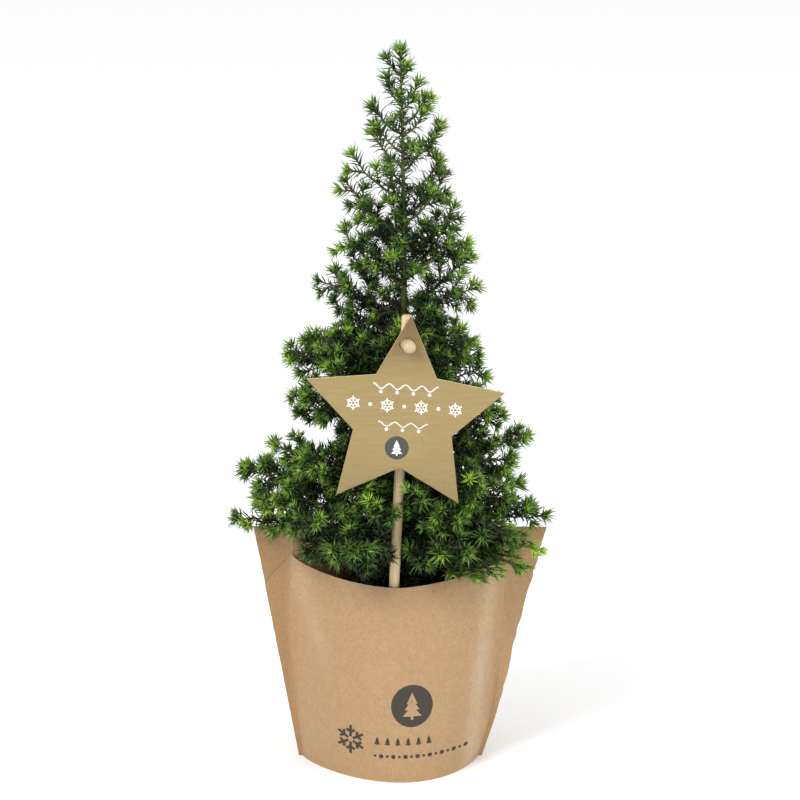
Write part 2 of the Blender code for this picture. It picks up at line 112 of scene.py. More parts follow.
back_low, back_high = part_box("bag_back")
scoop_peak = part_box("bag_front")[1].z
bag_top = back_high.z
seam_left_foot = SEAM_FOOT + SEAM_STAGGER
seam_right_foot = SEAM_FOOT - SEAM_STAGGER
seam_left_top = -back_low.x
seam_right_top = back_high.x
seam_top_shift = -4.0 * MM


def new_material(name, colour, roughness, specular=0.5):
    """A Principled material; returns it and its node tree."""
    made = bpy.data.materials.new(name)
    made.use_nodes = True
    shader = made.node_tree.nodes["Principled BSDF"]
    shader.inputs["Base Color"].default_value = (*colour, 1.0)
    shader.inputs["Roughness"].default_value = roughness
    shader.inputs["Specular IOR Level"].default_value = specular
    return made, made.node_tree


def mesh_object(name, shape, *finishes):
    """Turn a bmesh into an object with its finishes."""
    mesh = bpy.data.meshes.new(name)
    shape.to_mesh(mesh)
    shape.free()
    for finish in finishes:
        mesh.materials.append(finish)
    made = bpy.data.objects.new(name, mesh)
    scene.collection.objects.link(made)
    return made


def put_in_frame(made, slot, *stands_for):
    """Ride on the one body and replace the CAD nodes it stands for; slot is not used."""
    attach(made, "root")
    if stands_for:
        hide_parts(*stands_for)


def smooth(made, angle):
    """Shade smooth, with edges sharper than the angle in degrees kept crisp."""
    made.data.shade_smooth()
    made.data.set_sharp_from_angle(angle=math.radians(angle))


def settle(made):
    """Apply an object's modifiers, so that nothing on it is left live."""
    bpy.context.view_layer.update()
    ready = made.evaluated_get(bpy.context.evaluated_depsgraph_get())
    mesh = bpy.data.meshes.new_from_object(ready)
    made.modifiers.clear()
    made.data = mesh
    return made


def thicken(made, thickness, offset):
    """Give a single sheet its thickness; an offset of 1 adds it on the outer side."""
    wall = made.modifiers.new("wall", "SOLIDIFY")
    wall.thickness = thickness
    wall.offset = offset
    settle(made)


def noise_node(tree, scale, detail=2.0, stretch=(1.0, 1.0, 1.0), roughness=0.5):
    """Noise on Object coordinates, stretched by a Mapping node; scale is in cells per metre."""
    place = tree.nodes.new("ShaderNodeTexCoord")
    mapping = tree.nodes.new("ShaderNodeMapping")
    mapping.inputs["Scale"].default_value = stretch
    cells = tree.nodes.new("ShaderNodeTexNoise")
    cells.inputs["Scale"].default_value = scale
    cells.inputs["Detail"].default_value = detail
    cells.inputs["Roughness"].default_value = roughness
    tree.links.new(place.outputs["Object"], mapping.inputs["Vector"])
    tree.links.new(mapping.outputs["Vector"], cells.inputs["Vector"])
    return cells.outputs["Fac"]


def ramp_node(tree, source, *stops):
    """A colour ramp with (position, colour) stops."""
    ramp = tree.nodes.new("ShaderNodeValToRGB")
    marks = ramp.color_ramp.elements
    while len(marks) < len(stops):
        marks.new(0.5)
    for mark, (position, colour) in zip(marks, stops):
        mark.position = position
        mark.color = (*colour, 1.0)
    tree.links.new(source, ramp.inputs["Fac"])
    return ramp.outputs["Color"]


def tint_node(tree, factor, first, second):
    """Multiply one colour by another, as far as the factor says."""
    mix = tree.nodes.new("ShaderNodeMix")
    mix.data_type = "RGBA"
    mix.blend_type = "MULTIPLY"
    mix.inputs["Factor"].default_value = factor
    tree.links.new(first, mix.inputs["A"])
    tree.links.new(second, mix.inputs["B"])
    return mix.outputs["Result"]


def paint(tree, colour):
    """Take the base colour from an output."""
    tree.links.new(colour, tree.nodes["Principled BSDF"].inputs["Base Color"])


def bump_node(tree, source, strength, distance, under=None):
    """Raise the surface by an output, on top of the bump given as under."""
    bump = tree.nodes.new("ShaderNodeBump")
    bump.inputs["Strength"].default_value = strength
    bump.inputs["Distance"].default_value = distance
    tree.links.new(source, bump.inputs["Height"])
    if under is not None:
        tree.links.new(under, bump.inputs["Normal"])
    tree.links.new(bump.outputs["Normal"], tree.nodes["Principled BSDF"].inputs["Normal"])
    return bump.outputs["Normal"]


def kraft_paper():
    """Brown kraft: pulp clouds, short pale and dark fibres, a faint calendered sheen, and a vertex tint of
    painted highlights at the folds and painted shade on the seams.
    """
    made, tree = new_material("kraft_paper", (0.36, 0.23, 0.11), 0.55, 0.42)
    clouds = ramp_node(tree, noise_node(tree, 260, 4.0),
                       (0.30, (0.356, 0.221, 0.103)), (0.72, (0.386, 0.247, 0.122)))
    fibres = ramp_node(tree, noise_node(tree, 1500, 3.0, (1.0, 1.0, 0.45), 0.6),
                       (0.36, (0.80, 0.78, 0.74)), (0.52, (1.0, 1.0, 1.0)), (0.70, (1.10, 1.12, 1.16)))
    flecks = ramp_node(tree, noise_node(tree, 900, 1.0), (0.24, (0.55, 0.50, 0.45)), (0.31, (1.0, 1.0, 1.0)))
    # The vertex tint carries painted highlights at the folds and painted shade on the seams.
    painted_light = tree.nodes.new("ShaderNodeAttribute")
    painted_light.attribute_name = "painted_light"
    colour = tint_node(tree, 0.6, clouds, fibres)
    colour = tint_node(tree, 0.6, colour, flecks)
    paint(tree, tint_node(tree, 1.0, colour, painted_light.outputs["Color"]))
    grain = bump_node(tree, noise_node(tree, 1900, 3.0, (1.0, 1.0, 0.6), 0.6), 0.22, 0.00012)
    bump_node(tree, noise_node(tree, 150, 2.0), 0.25, 0.0009, grain)
    return made


def bag_outline(height):
    """Seam edges, fin, bulge, seam depth and sharpness of the smooth bag at one height or many."""
    rise = height / bag_top
    fin = SEAM_FIN_FOOT + SEAM_FIN_GROWTH * rise ** 1.9
    left = -(seam_left_foot + (seam_left_top - seam_left_foot) * rise)
    right = seam_right_foot + (seam_right_top - seam_right_foot) * rise
    belly = BELLY_FOOT * (1.0 - 0.8 * rise ** 1.75)
    sharpness = SHARPNESS[0] + (SHARPNESS[1] - SHARPNESS[0]) * np.minimum(rise / 0.5, 1.0)
    return left, right, fin, belly, seam_top_shift * rise ** 2, sharpness


def bag_section(height):
    """The bag's outline at one height with the ripple of its seams, and how much it is skewed."""
    left, right, fin, belly, seam, sharpness = bag_outline(height)
    rise = height / bag_top
    ripple = SEAM_RIPPLE * math.sin(math.pi * min(height / RIPPLE_TOP, 1.0))
    waves = EDGE_WAVE * min(rise * 2, 1.0) * math.sin(height * 430 + 1.5 * math.sin(height * 190))
    skew = BELLY_SKEW * max(1.0 - rise / 0.35, 0.0)
    return left + waves * 0.25, right + (ripple + waves), fin, belly, seam, sharpness, skew


def paper_creases(across, height, side):
    """Small forward and backward moves of the paper: soft folds by the seams and a dented foot."""
    rise = height / bag_top
    folds = 0.0
    for place, width, depth, low, high in CREASES:
        fade = math.exp(-((rise - (low + high) / 2) / (0.6 * (high - low))) ** 2)
        folds += depth * MM * math.exp(-((across - place) / width) ** 2) * fade
    cloth = noise.noise(Vector((across * 3.1, height * 22, side * 5.0))) * 0.7 * MM
    flutter = 0.0
    if abs(across) > BODY_SHARE:
        edge = (abs(across) - BODY_SHARE) / (1 - BODY_SHARE)
        flutter = edge * rise * (1.5 * MM * math.sin(height * 88 + across) + 0.6 * MM)
    return folds + cloth * min(rise * 5, 1.0), flutter


def sheet_point(across, height, side):
    """A point of a sheet; across runs from -1 to 1 between the seam edges."""
    left, right, fin, belly, seam, sharpness, skew = bag_section(height)
    crease, flutter = paper_creases(across, height, side)
    if abs(across) <= BODY_SHARE:
        angle = across / BODY_SHARE * math.pi / 2
        half = (right - left) / 2 - fin
        dome = max(math.cos(angle), 0.0) ** sharpness
        bulge = belly * dome * (1 + skew * math.sin(angle)) + crease * dome ** 0.5
        middle = (left + right) / 2
        return Vector((middle + half * math.sin(angle), seam + side * (PAPER_PROUD + bulge), height))
    along = (abs(across) - BODY_SHARE) / (1 - BODY_SHARE)
    edge = right - fin + fin * along if across > 0 else left + fin - fin * along
    return Vector((edge, seam + side * PAPER_PROUD + flutter, height))


def front_edge(across):
    """Height of the front sheet's top edge."""
    if abs(across) <= BODY_SHARE:
        return scoop_peak - SCOOP_DROP * (1 - (abs(across) / BODY_SHARE) ** SCOOP_CURVE)
    along = (abs(across) - BODY_SHARE) / (1 - BODY_SHARE)
    return scoop_peak - SCOOP_OUTER_DROP * along ** 0.8


def paint_sheen_and_shade(made):
    """Tint the paper with painted light: pale soft bands of painted highlight at its two upright folds, and
    painted shade on the seams.
    """
    tints = []
    for vert in made.data.vertices:
        place = vert.co
        left, right, fin, *_ = bag_section(max(place.z, 0.0))
        first = SHEEN_LEFT[0] + (SHEEN_TOP - place.z) * SHEEN_LEFT[1]
        second = SHEEN_RIGHT[0] - (SHEEN_TOP - place.z) * SHEEN_RIGHT[1]
        wander = noise.noise(Vector((place.x * 30, place.z * 60, 3.0)))
        fade = min(max((place.z - SHEEN_LEFT_END) / SHEEN_FADE, 0.0), 1.0)
        # Painted highlight: pale bands at the two folds of the front sheet, standing in for sheen.
        pale = math.exp(-((place.x - first) / (SHEEN_WIDTH * (1.2 + 0.3 * wander))) ** 2) * fade * 0.7
        pale += math.exp(-((place.x - second) / SHEEN_WIDTH) ** 2) * (1.3 + 0.4 * wander)
        pale = min(pale, 1.5) if place.y < 0 else 0.0
        # Painted shade on the seam fins: full on the left one, a fifth as strong on the right.
        seam = min(max((left + fin - place.x) / SEAM_SHADE_BLUR, 0.0), 1.0)
        seam = max(seam, 0.2 * min(max((place.x - right + fin) / SEAM_SHADE_BLUR, 0.0), 1.0))
        tints.append([(1 + pale * (bright - 1)) * (1 + seam * (dark - 1))
                      for bright, dark in zip(PAINTED_SHEEN_TINT, SEAM_SHADE_TINT)] + [1.0])
    mark = made.data.color_attributes.new("painted_light", "FLOAT_COLOR", "POINT")
    mark.data.foreach_set("color", [value for tint in tints for value in tint])


def bag_sheet(name, side, edge, node):
    """One sheet: a fine grid bent to its place, then given the paper's thickness."""
    shape = bmesh.new()
    bmesh.ops.create_grid(shape, x_segments=SHEET_COLUMNS, y_segments=SHEET_ROWS, size=1.0)
    for vert in shape.verts:
        vert.co = sheet_point(vert.co.x, (vert.co.y + 1) / 2 * edge(vert.co.x), side)
    shape.normal_update()
    facing = sum(face.normal.y * face.calc_area() for face in shape.faces)
    if facing * side < 0:
        bmesh.ops.reverse_faces(shape, faces=shape.faces)
    made = mesh_object(name, shape, KRAFT)
    thicken(made, PAPER, 1.0)
    paint_sheen_and_shade(made)
    smooth(made, 50)
    put_in_frame(made, "kraft_paper", node)


KRAFT = kraft_paper()
bag_sheet("bag_front_sheet", -1, front_edge, "bag_front")
bag_sheet("bag_back_sheet", 1, lambda across: bag_top, "bag_back")

# The round floor, with its edge turned up inside the sheets where it is sealed to them.
shape = bmesh.new()
rims = []
for inset, lift in ((0.35 * MM, 7.0 * MM), (0.35 * MM, 1.2 * MM), (1.4 * MM, 0.05 * MM), (16 * MM, 0.0)):
    left, right, fin, belly, seam, sharpness, skew = bag_section(lift)
    half = (right - left) / 2 - fin - inset
    rim = []
    for step in range(GUSSET_SIDES):
        angle = 2 * math.pi * step / GUSSET_SIDES
        side = -1 if math.sin(angle) < 0 else 1
        depth = (belly - inset) * (1 + skew * math.cos(angle)) * abs(math.sin(angle)) ** sharpness
        rim.append(shape.verts.new(((left + right) / 2 + half * math.cos(angle), seam + side * depth, lift)))
    rims.append(rim)
for outer, inner in zip(rims, rims[1:]):
    for step in range(GUSSET_SIDES):
        shape.faces.new((outer[step - 1], outer[step], inner[step], inner[step - 1]))
shape.faces.new(rims[-1])
bmesh.ops.recalc_face_normals(shape, faces=shape.faces)
gusset = mesh_object("bag_gusset", shape, KRAFT)
thicken(gusset, PAPER * 0.6, 0.0)
for vert in gusset.data.vertices:
    vert.co.z = max(vert.co.z, 0.0)
paint_sheen_and_shade(gusset)
smooth(gusset, 35)
put_in_frame(gusset, "kraft_paper", "bag_base")

# ---------------------------------------------------------------------------------------------
# Printing on the bag: a round seal with a small fir in it, a snow crystal, and two rows of tiny
# firs and dots. One flat dark ink, laid on the paper as thin shapes that follow its bend.
INK_LIFT = 0.04 * MM
SEAL_RADIUS = 10.3 * MM
SEAL_PLACE = (10.4 * MM, 38.2 * MM)
CRYSTAL_PLACE = (-20.0 * MM, 19.6 * MM)
CRYSTAL_RADIUS = 7.2 * MM
ROWS_LEFT = -9.3 * MM
FIR_COUNT = 6
FIR_PITCH = 5.1 * MM
FIR_FOOT = 18.6 * MM
FIR_HEIGHT = 4.4 * MM
DOT_COUNT = 16
DOT_PITCH = 3.0 * MM
DOT_ROW = 13.2 * MM


def ink(name, colour, roughness):
    """A flat printing ink, a little broken by the grain of what it lies on."""
    made, tree = new_material(name, colour, roughness)
    paint(tree, ramp_node(tree, noise_node(tree, 1400, 3.0), (0.3, tuple(part * 0.82 for part in colour)),
                          (0.6, colour), (0.78, tuple(min(part * 1.3, 1.0) for part in colour))))
    return made


def disc(shape, place, radius, sides=48):
    """A filled circle in the flat drawing, with X to the right and Y up."""
    made = bmesh.ops.create_circle(shape, cap_ends=True, segments=sides, radius=radius)
    bmesh.ops.translate(shape, verts=made["verts"], vec=(place[0], place[1], 0.0))


def outline(shape, points):
    """A filled outline in the flat drawing."""
    shape.faces.new([shape.verts.new((across, up, 0.0)) for across, up in points])


def bar(shape, start, end, half, past=0.0):
    """A straight line of a half width in the flat drawing, run past its two ends."""
    along = (Vector(end) - Vector(start)).normalized()
    side = Vector((-along.y, along.x)) * half
    first = Vector(start) - along * past
    last = Vector(end) + along * past
    outline(shape, (first - side, last - side, last + side, first + side))


def fir(shape, place, height):
    """A little fir of three skirts on a stem."""
    across, up = place
    for low, top, half in ((0.12, 0.52, 0.36), (0.36, 0.76, 0.28), (0.58, 1.0, 0.20)):
        outline(shape, ((across - half * height, up + low * height),
                        (across + half * height, up + low * height), (across, up + top * height)))
    stem = 0.05 * height
    outline(shape, ((across - stem, up), (across + stem, up),
                    (across + stem, up + 0.12 * height), (across - stem, up + 0.12 * height)))


def crystal(shape, place, radius, stroke):
    """A snow crystal: six arms, each with one pair of barbs."""
    middle = Vector(place)
    for arm in range(6):
        angle = math.pi / 2 + arm * math.pi / 3
        out = Vector((math.cos(angle), math.sin(angle)))
        bar(shape, middle + out * stroke, middle + out * radius, stroke / 2)
        for lean in (-math.pi / 3, math.pi / 3):
            barb = Vector((math.cos(angle + lean), math.sin(angle + lean)))
            root = middle + out * radius * 0.52
            bar(shape, root, root + barb * radius * 0.34, stroke / 2)


def lay_on_bag(flat):
    """The place on the front sheet's outer face of a point of the flat drawing."""
    height = flat.y
    left, right, fin, *_ = bag_section(height)
    half = (right - left) / 2 - fin
    angle = math.asin(max(min((flat.x - (left + right) / 2) / half, 1.0), -1.0))
    across = angle / (math.pi / 2) * BODY_SHARE
    step = 0.004
    along = sheet_point(across + step, height, -1) - sheet_point(across - step, height, -1)
    upward = sheet_point(across, height + step * 0.1, -1) - sheet_point(across, height - step * 0.1, -1)
    outward = along.cross(upward).normalized()
    return sheet_point(across, height, -1) + outward * (PAPER + INK_LIFT + flat.z)


def slice_at(shape, place, normal):
    """Cut every face that a plane crosses."""
    everything = shape.verts[:] + shape.edges[:] + shape.faces[:]
    bmesh.ops.bisect_plane(shape, geom=everything, plane_co=place, plane_no=normal)


def print_on(name, shape, lay, finish, slot, pitch=1.2 * MM, lift=0.0):
    """Cut a flat drawing finely, lay it on its sheet, and give the ink its thickness."""
    low = Vector([min(vert.co[axis] for vert in shape.verts) for axis in range(3)])
    high = Vector([max(vert.co[axis] for vert in shape.verts) for axis in range(3)])
    for axis, normal in enumerate((Vector((1, 0, 0)), Vector((0, 1, 0)))):
        place = low[axis] + pitch
        while place < high[axis]:
            slice_at(shape, normal * place, normal)
            place += pitch
    for vert in shape.verts:
        vert.co = lay(vert.co + Vector((0, 0, lift)))
    shape.normal_update()
    bmesh.ops.reverse_faces(shape, faces=[face for face in shape.faces if face.normal.y > 0])
    made = mesh_object(name, shape, finish)
    thicken(made, INK_LIFT * 1.5, -1.0)
    put_in_frame(made, slot)


BAG_INK = ink("bag_ink", (0.034, 0.025, 0.018), 0.65)
drawing = bmesh.new()
disc(drawing, SEAL_PLACE, SEAL_RADIUS)
print_on("bag_seal", drawing, lay_on_bag, BAG_INK, "kraft_paper")

KRAFT_INK = ink("paper_left_bare", (0.36, 0.24, 0.12), 0.6)
drawing = bmesh.new()
fir(drawing, (SEAL_PLACE[0], SEAL_PLACE[1] - 6.6 * MM), 13.2 * MM)
print_on("bag_seal_fir", drawing, lay_on_bag, KRAFT_INK, "kraft_paper", lift=INK_LIFT)

drawing = bmesh.new()
crystal(drawing, CRYSTAL_PLACE, CRYSTAL_RADIUS, 1.3 * MM)
for step in range(FIR_COUNT):
    fir(drawing, (ROWS_LEFT + (step + 0.5) * FIR_PITCH, FIR_FOOT), FIR_HEIGHT)
for step in range(DOT_COUNT):
    across = ROWS_LEFT + (step + 0.5) * DOT_PITCH
    disc(drawing, (across, DOT_ROW), (1.1 if step % 2 else 0.7) * MM, 14)
print_on("bag_small_print", drawing, lay_on_bag, BAG_INK, "kraft_paper")

# ---------------------------------------------------------------------------------------------
# Nursery pot and compost, deep in the bag: a thin black plastic pot with a rolled lip, and damp
# compost with crumbs and bark chips lying on it.
POT_SIDES = 72
POT_WALL = 0.8 * MM
LIP_DEPTH = 7 * MM
FOOT_SHARE = 0.726                # the pot's foot as a share of its rim
COMPOST_CELLS = 70
CRUMB = 1.1 * MM                  # height of the crumbs


def spun(profile, sides):
    """A closed round shape, spun about the vertical from (radius, height) pairs."""
    shape = bmesh.new()
    points = [shape.verts.new((radius, 0.0, height)) for radius, height in profile]
    edges = [shape.edges.new(pair) for pair in zip(points, points[1:])]
    bmesh.ops.spin(shape, geom=points + edges, cent=(0, 0, 0), axis=(0, 0, 1), angle=2 * math.pi,
                   steps=sides, use_merge=True)
    bmesh.ops.remove_doubles(shape, verts=shape.verts, dist=1e-7)
    bmesh.ops.recalc_face_normals(shape, faces=shape.faces)
    return shape


def verts_in(geometry):
    """The vertices among what an extrusion made."""
    return [item for item in geometry if isinstance(item, bmesh.types.BMVert)]


plastic, tree = new_material("pot_plastic", (0.018, 0.018, 0.017), 0.42)
bump_node(tree, noise_node(tree, 2600, 2.0), 0.25, 0.00008)
paint(tree, ramp_node(tree, noise_node(tree, 120, 3.0),
                      (0.35, (0.014, 0.014, 0.013)), (0.7, (0.034, 0.029, 0.024))))

pot_low, pot_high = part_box("pot")
rim = pot_high.x
foot = rim * FOOT_SHARE
wall = POT_WALL
lip = pot_high.z - LIP_DEPTH
lip_step = rim - 1.2 * MM
pot = mesh_object("nursery_pot", spun((
    (0.0, pot_low.z + 1.0 * MM), (foot - 6 * MM, pot_low.z + 1.0 * MM), (foot - 5 * MM, pot_low.z),
    (foot - 0.6 * MM, pot_low.z), (foot, pot_low.z + 0.6 * MM), (lip_step - 0.8 * MM, lip),
    (lip_step + 0.6 * MM, lip + 0.2 * MM), (rim - 0.3 * MM, pot_high.z - 0.7 * MM),
    (rim - 0.1 * MM, pot_high.z - 0.2 * MM), (rim - 0.4 * MM, pot_high.z),
    (rim - wall, pot_high.z - 0.3 * MM), (lip_step - wall, lip), (foot - wall, pot_low.z + 1.6 * MM),
    (0.0, pot_low.z + 1.6 * MM)), POT_SIDES), plastic)
smooth(pot, 30)
put_in_frame(pot, "pot_plastic", "pot")

compost, tree = new_material("compost", (0.03, 0.018, 0.010), 0.92)
paint(tree, ramp_node(tree, noise_node(tree, 700, 5.0, roughness=0.7), (0.30, (0.008, 0.005, 0.003)),
                      (0.55, (0.032, 0.019, 0.010)), (0.74, (0.095, 0.058, 0.030))))
bump_node(tree, noise_node(tree, 900, 5.0, roughness=0.7), 0.8, 0.0009)

ball_low, ball_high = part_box("root_ball")
soil = ball_high.z
soil_radius = ball_high.x
shape = bmesh.new()
bmesh.ops.create_grid(shape, x_segments=COMPOST_CELLS, y_segments=COMPOST_CELLS, size=1.0)
for vert in shape.verts:
    flat = Vector((vert.co.x, vert.co.y, 0.0))
    reach = max(abs(flat.x), abs(flat.y))
    if flat.length > 0:
        flat = flat.normalized() * reach * soil_radius
    rough = noise.fractal(flat * 420, 0.8, 2.0, 5) * CRUMB
    vert.co = Vector((flat.x, flat.y, soil - 0.6 * MM + rough * min((1 - reach) * 12, 1.0)))
border = [edge for edge in shape.edges if edge.is_boundary]
grown = bmesh.ops.extrude_edge_only(shape, edges=border)["geom"]
narrowing = (foot - 2.0 * MM) / soil_radius
for vert in verts_in(grown):
    vert.co = Vector((vert.co.x * narrowing, vert.co.y * narrowing, ball_low.z))
bmesh.ops.contextual_create(shape, geom=[item for item in grown if isinstance(item, bmesh.types.BMEdge)])
bmesh.ops.recalc_face_normals(shape, faces=shape.faces)
compost_bed = mesh_object("compost_bed", shape, compost)
smooth(compost_bed, 60)
put_in_frame(compost_bed, "compost", "root_ball")

# ---------------------------------------------------------------------------------------------
# Dowel: a plain round hardwood stick pushed into the compost in front of the trunk, cut square
# at the top with its edge just broken.
DOWEL_RADIUS = 2.6 * MM


def wood(name, dark, light, grain_along, roughness):
    """Pale close-grained wood: long streaks along one axis, fine pores, and broad tone changes."""
    made, tree = new_material(name, light, roughness)
    streak_scale = [1.0, 1.0, 1.0]
    streak_scale[grain_along] = 0.045
    streaks = noise_node(tree, 1500, 4.0, streak_scale, 0.6)
    clouds = noise_node(tree, 110, 2.0, (1.0, 1.0, 0.5))
    first = ramp_node(tree, streaks, (0.28, dark), (0.62, light))
    second = ramp_node(tree, clouds, (0.3, (0.86, 0.83, 0.78)), (0.7, (1.08, 1.06, 1.02)))
    paint(tree, tint_node(tree, 0.9, first, second))
    bump_node(tree, streaks, 0.4, 0.00018)
    return made


def axis_ends(node):
    """The middles of a straight CAD rod's two end faces, lower one first."""
    points = np.array([vert.co for vert in nodes[node].data.vertices])
    middle = points.mean(0)
    along = np.linalg.svd(points - middle, full_matrices=False)[2][0]
    along = along * (1 if along[2] > 0 else -1)
    place = (points - middle) @ along
    low_face = points[place < place.min() + 0.5 * MM]
    high_face = points[place > place.max() - 0.5 * MM]
    return Vector(low_face.mean(0)), Vector(high_face.mean(0))


def stood_along(place, direction):
    """The matrix that stands an upright shape at a place, along a direction."""
    turn = Vector((0, 0, 1)).rotation_difference(direction).to_matrix().to_4x4()
    return Matrix.Translation(place) @ turn


def rod(name, start, end, profile, sides, finish, wobble):
    """A round piece on the line from start to end, spun from (share of length, radius) pairs."""
    length = (end - start).length
    shape = spun([(radius, share * length) for share, radius in profile], sides)
    place = stood_along(start, end - start)
    for vert in shape.verts:
        out = Vector((vert.co.x, vert.co.y, 0.0))
        dent = wobble * noise.fractal(vert.co * 330, 0.9, 2.0, 3)
        vert.co = place @ (vert.co + (out.normalized() * dent if out.length > 0 else Vector((0, 0, 0))))
    return mesh_object(name, shape, finish)


dowel_start, dowel_end = axis_ends("dowel")
rings = [(share, DOWEL_RADIUS) for share in np.linspace(0.004, 0.998, 90)]
dowel = rod("dowel_stick", dowel_start, dowel_end,
            [(0.0, 0.0), (0.0, DOWEL_RADIUS * 0.9), *rings, (0.9995, DOWEL_RADIUS * 0.94),
             (1.0, DOWEL_RADIUS * 0.88), (1.0, 0.0)],
            28, wood("dowel_wood", (0.500, 0.370, 0.195), (0.720, 0.580, 0.350), 2, 0.62), 0.05 * MM)
smooth(dowel, 50)
put_in_frame(dowel, "dowel_wood", "dowel")

# ---------------------------------------------------------------------------------------------
# Star: five points cut from thin solid board, brown-gold on its faces with a faint roller grain
# across it and paler raw edges, with a punched hole near its top point. The board has warped a
# little. It hangs in front of the dowel on a short peg.
STAR_TURN = math.radians(4.1)
STAR_NOTCH_SHARE = 0.497
CARD_WARP = 0.55 * MM
PEG_HOLE = 3.4 * MM
CARD_CELL = 3.3 * MM              # spacing of the cuts that let the board and its print bend
CARD_BEVEL = 0.12 * MM
star_low, star_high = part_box("star")
card = star_high.y - star_low.y
star_radius = (star_high.z - star_low.z) / (math.cos(STAR_TURN) + math.cos(math.pi / 5 - STAR_TURN))
star_top = Vector((0, 0, 0))
for point in (vert.co for vert in nodes["star"].data.vertices):
    if point.z > star_high.z - 0.01 * MM:
        star_top = point.copy()
star_centre = Vector((star_top.x - star_radius * math.sin(STAR_TURN), (star_low.y + star_high.y) / 2,
                      star_top.z - star_radius * math.cos(STAR_TURN)))
peg_start, peg_end = axis_ends("peg")
if peg_start.y < peg_end.y:
    peg_start, peg_end = peg_end, peg_start
peg_share = (star_centre.y - peg_start.y) / (peg_end.y - peg_start.y)
peg_hole = peg_start.lerp(peg_end, peg_share)

gold, tree = new_material("gold_card", (0.29, 0.21, 0.08), 0.40, 0.55)
rolled = noise_node(tree, 900, 3.0, (0.10, 1.0, 1.0), 0.55)
grain = ramp_node(tree, rolled, (0.30, (0.270, 0.194, 0.070)), (0.70, (0.306, 0.226, 0.088)))
dust = ramp_node(tree, noise_node(tree, 1700, 3.0), (0.3, (0.88, 0.87, 0.85)), (0.7, (1.06, 1.06, 1.06)))
place = tree.nodes.new("ShaderNodeTexCoord")
split = tree.nodes.new("ShaderNodeSeparateXYZ")
tree.links.new(place.outputs["Object"], split.inputs["Vector"])
# Painted shade by height: the board is darkened towards its top point and a little towards its foot, for how
# the light falls on it.
height_share = tree.nodes.new("ShaderNodeMapRange")
height_share.inputs["From Min"].default_value = star_low.z
height_share.inputs["From Max"].default_value = star_high.z
tree.links.new(split.outputs["Z"], height_share.inputs["Value"])
shade = ramp_node(tree, height_share.outputs["Result"], (0.0, (0.88, 0.86, 0.84)),
                  (0.35, (1.02, 1.02, 1.02)), (0.66, (1.0, 1.0, 1.0)), (0.95, (0.54, 0.45, 0.30)))
paint(tree, tint_node(tree, 1.0, tint_node(tree, 0.8, grain, dust), shade))
bump_node(tree, rolled, 0.35, 0.00022)

raw_edge, tree = new_material("raw_card_edge", (0.68, 0.57, 0.38), 0.8)
plies = noise_node(tree, 1500, 3.0)
paint(tree, ramp_node(tree, plies, (0.3, (0.52, 0.42, 0.25)), (0.7, (0.78, 0.68, 0.48))))
bump_node(tree, plies, 0.5, 0.0002)


def warp(across, up):
    """How far the board has bent forward at a place measured from its middle."""
    waves = 0.9 * math.sin(across * 38 + 0.6) * math.cos(up * 30)
    return CARD_WARP * (waves + 9.0 * across * up / MM * 0.001)


shape = bmesh.new()
corners = []
for step in range(10):
    reach = star_radius * (1.0 if step % 2 == 0 else STAR_NOTCH_SHARE)
    angle = math.pi / 2 - STAR_TURN - step * math.pi / 5
    corners.append(shape.verts.new((reach * math.cos(angle), 0.0, reach * math.sin(angle))))
shape.faces.new(corners)
for normal in (Vector((1, 0, 0)), Vector((0, 0, 1))):
    for step in range(-16, 17):
        slice_at(shape, normal * step * CARD_CELL, normal)
grown = bmesh.ops.extrude_face_region(shape, geom=shape.faces[:])["geom"]
bmesh.ops.translate(shape, verts=verts_in(grown), vec=(0, card, 0))
bmesh.ops.recalc_face_normals(shape, faces=shape.faces)
rim_edges = [edge for edge in shape.edges if edge.is_manifold and edge.calc_face_angle() > 1.2
             and abs(edge.verts[0].co.y - edge.verts[1].co.y) < 1e-6]
bmesh.ops.bevel(shape, geom=rim_edges, offset=CARD_BEVEL, offset_type="OFFSET", affect="EDGES",
                segments=2, profile=0.5, material=-1)
for face in shape.faces:
    face.material_index = 0 if abs(face.normal.y) > 0.9 else 1
for vert in shape.verts:
    bend = warp(vert.co.x, vert.co.z)
    vert.co = star_centre + Vector((vert.co.x, vert.co.y - card / 2 - bend, vert.co.z))
star = mesh_object("card_star", shape, gold, raw_edge)

cutter = bmesh.new()
bmesh.ops.create_cone(cutter, cap_ends=True, segments=40, radius1=PEG_HOLE, radius2=PEG_HOLE, depth=0.02)
bmesh.ops.transform(cutter, matrix=stood_along(peg_hole, peg_end - peg_start), verts=cutter.verts)
punch = mesh_object("punch", cutter, raw_edge)
cut = star.modifiers.new("punched hole", "BOOLEAN")
cut.operation = "DIFFERENCE"
cut.solver = "EXACT"
cut.object = punch
settle(star)
bpy.data.objects.remove(punch)
smooth(star, 25)
put_in_frame(star, "gold_card", "star")


def lay_on_star(flat):
    """The place on the star's front face of a point drawn from the star's middle."""
    return star_centre + Vector((flat.x, -card / 2 - warp(flat.x, flat.y) - INK_LIFT - flat.z, flat.y))


def turned_flat(across, up):
    """A place in the star's own turned axes."""
    return (across * math.cos(STAR_TURN) + up * math.sin(STAR_TURN),
            up * math.cos(STAR_TURN) - across * math.sin(STAR_TURN))


def stroke(shape, points, half):
    """A pen stroke through points, with square ends."""
    for one, two in zip(points, points[1:]):
        bar(shape, one, two, half, half * 0.5)


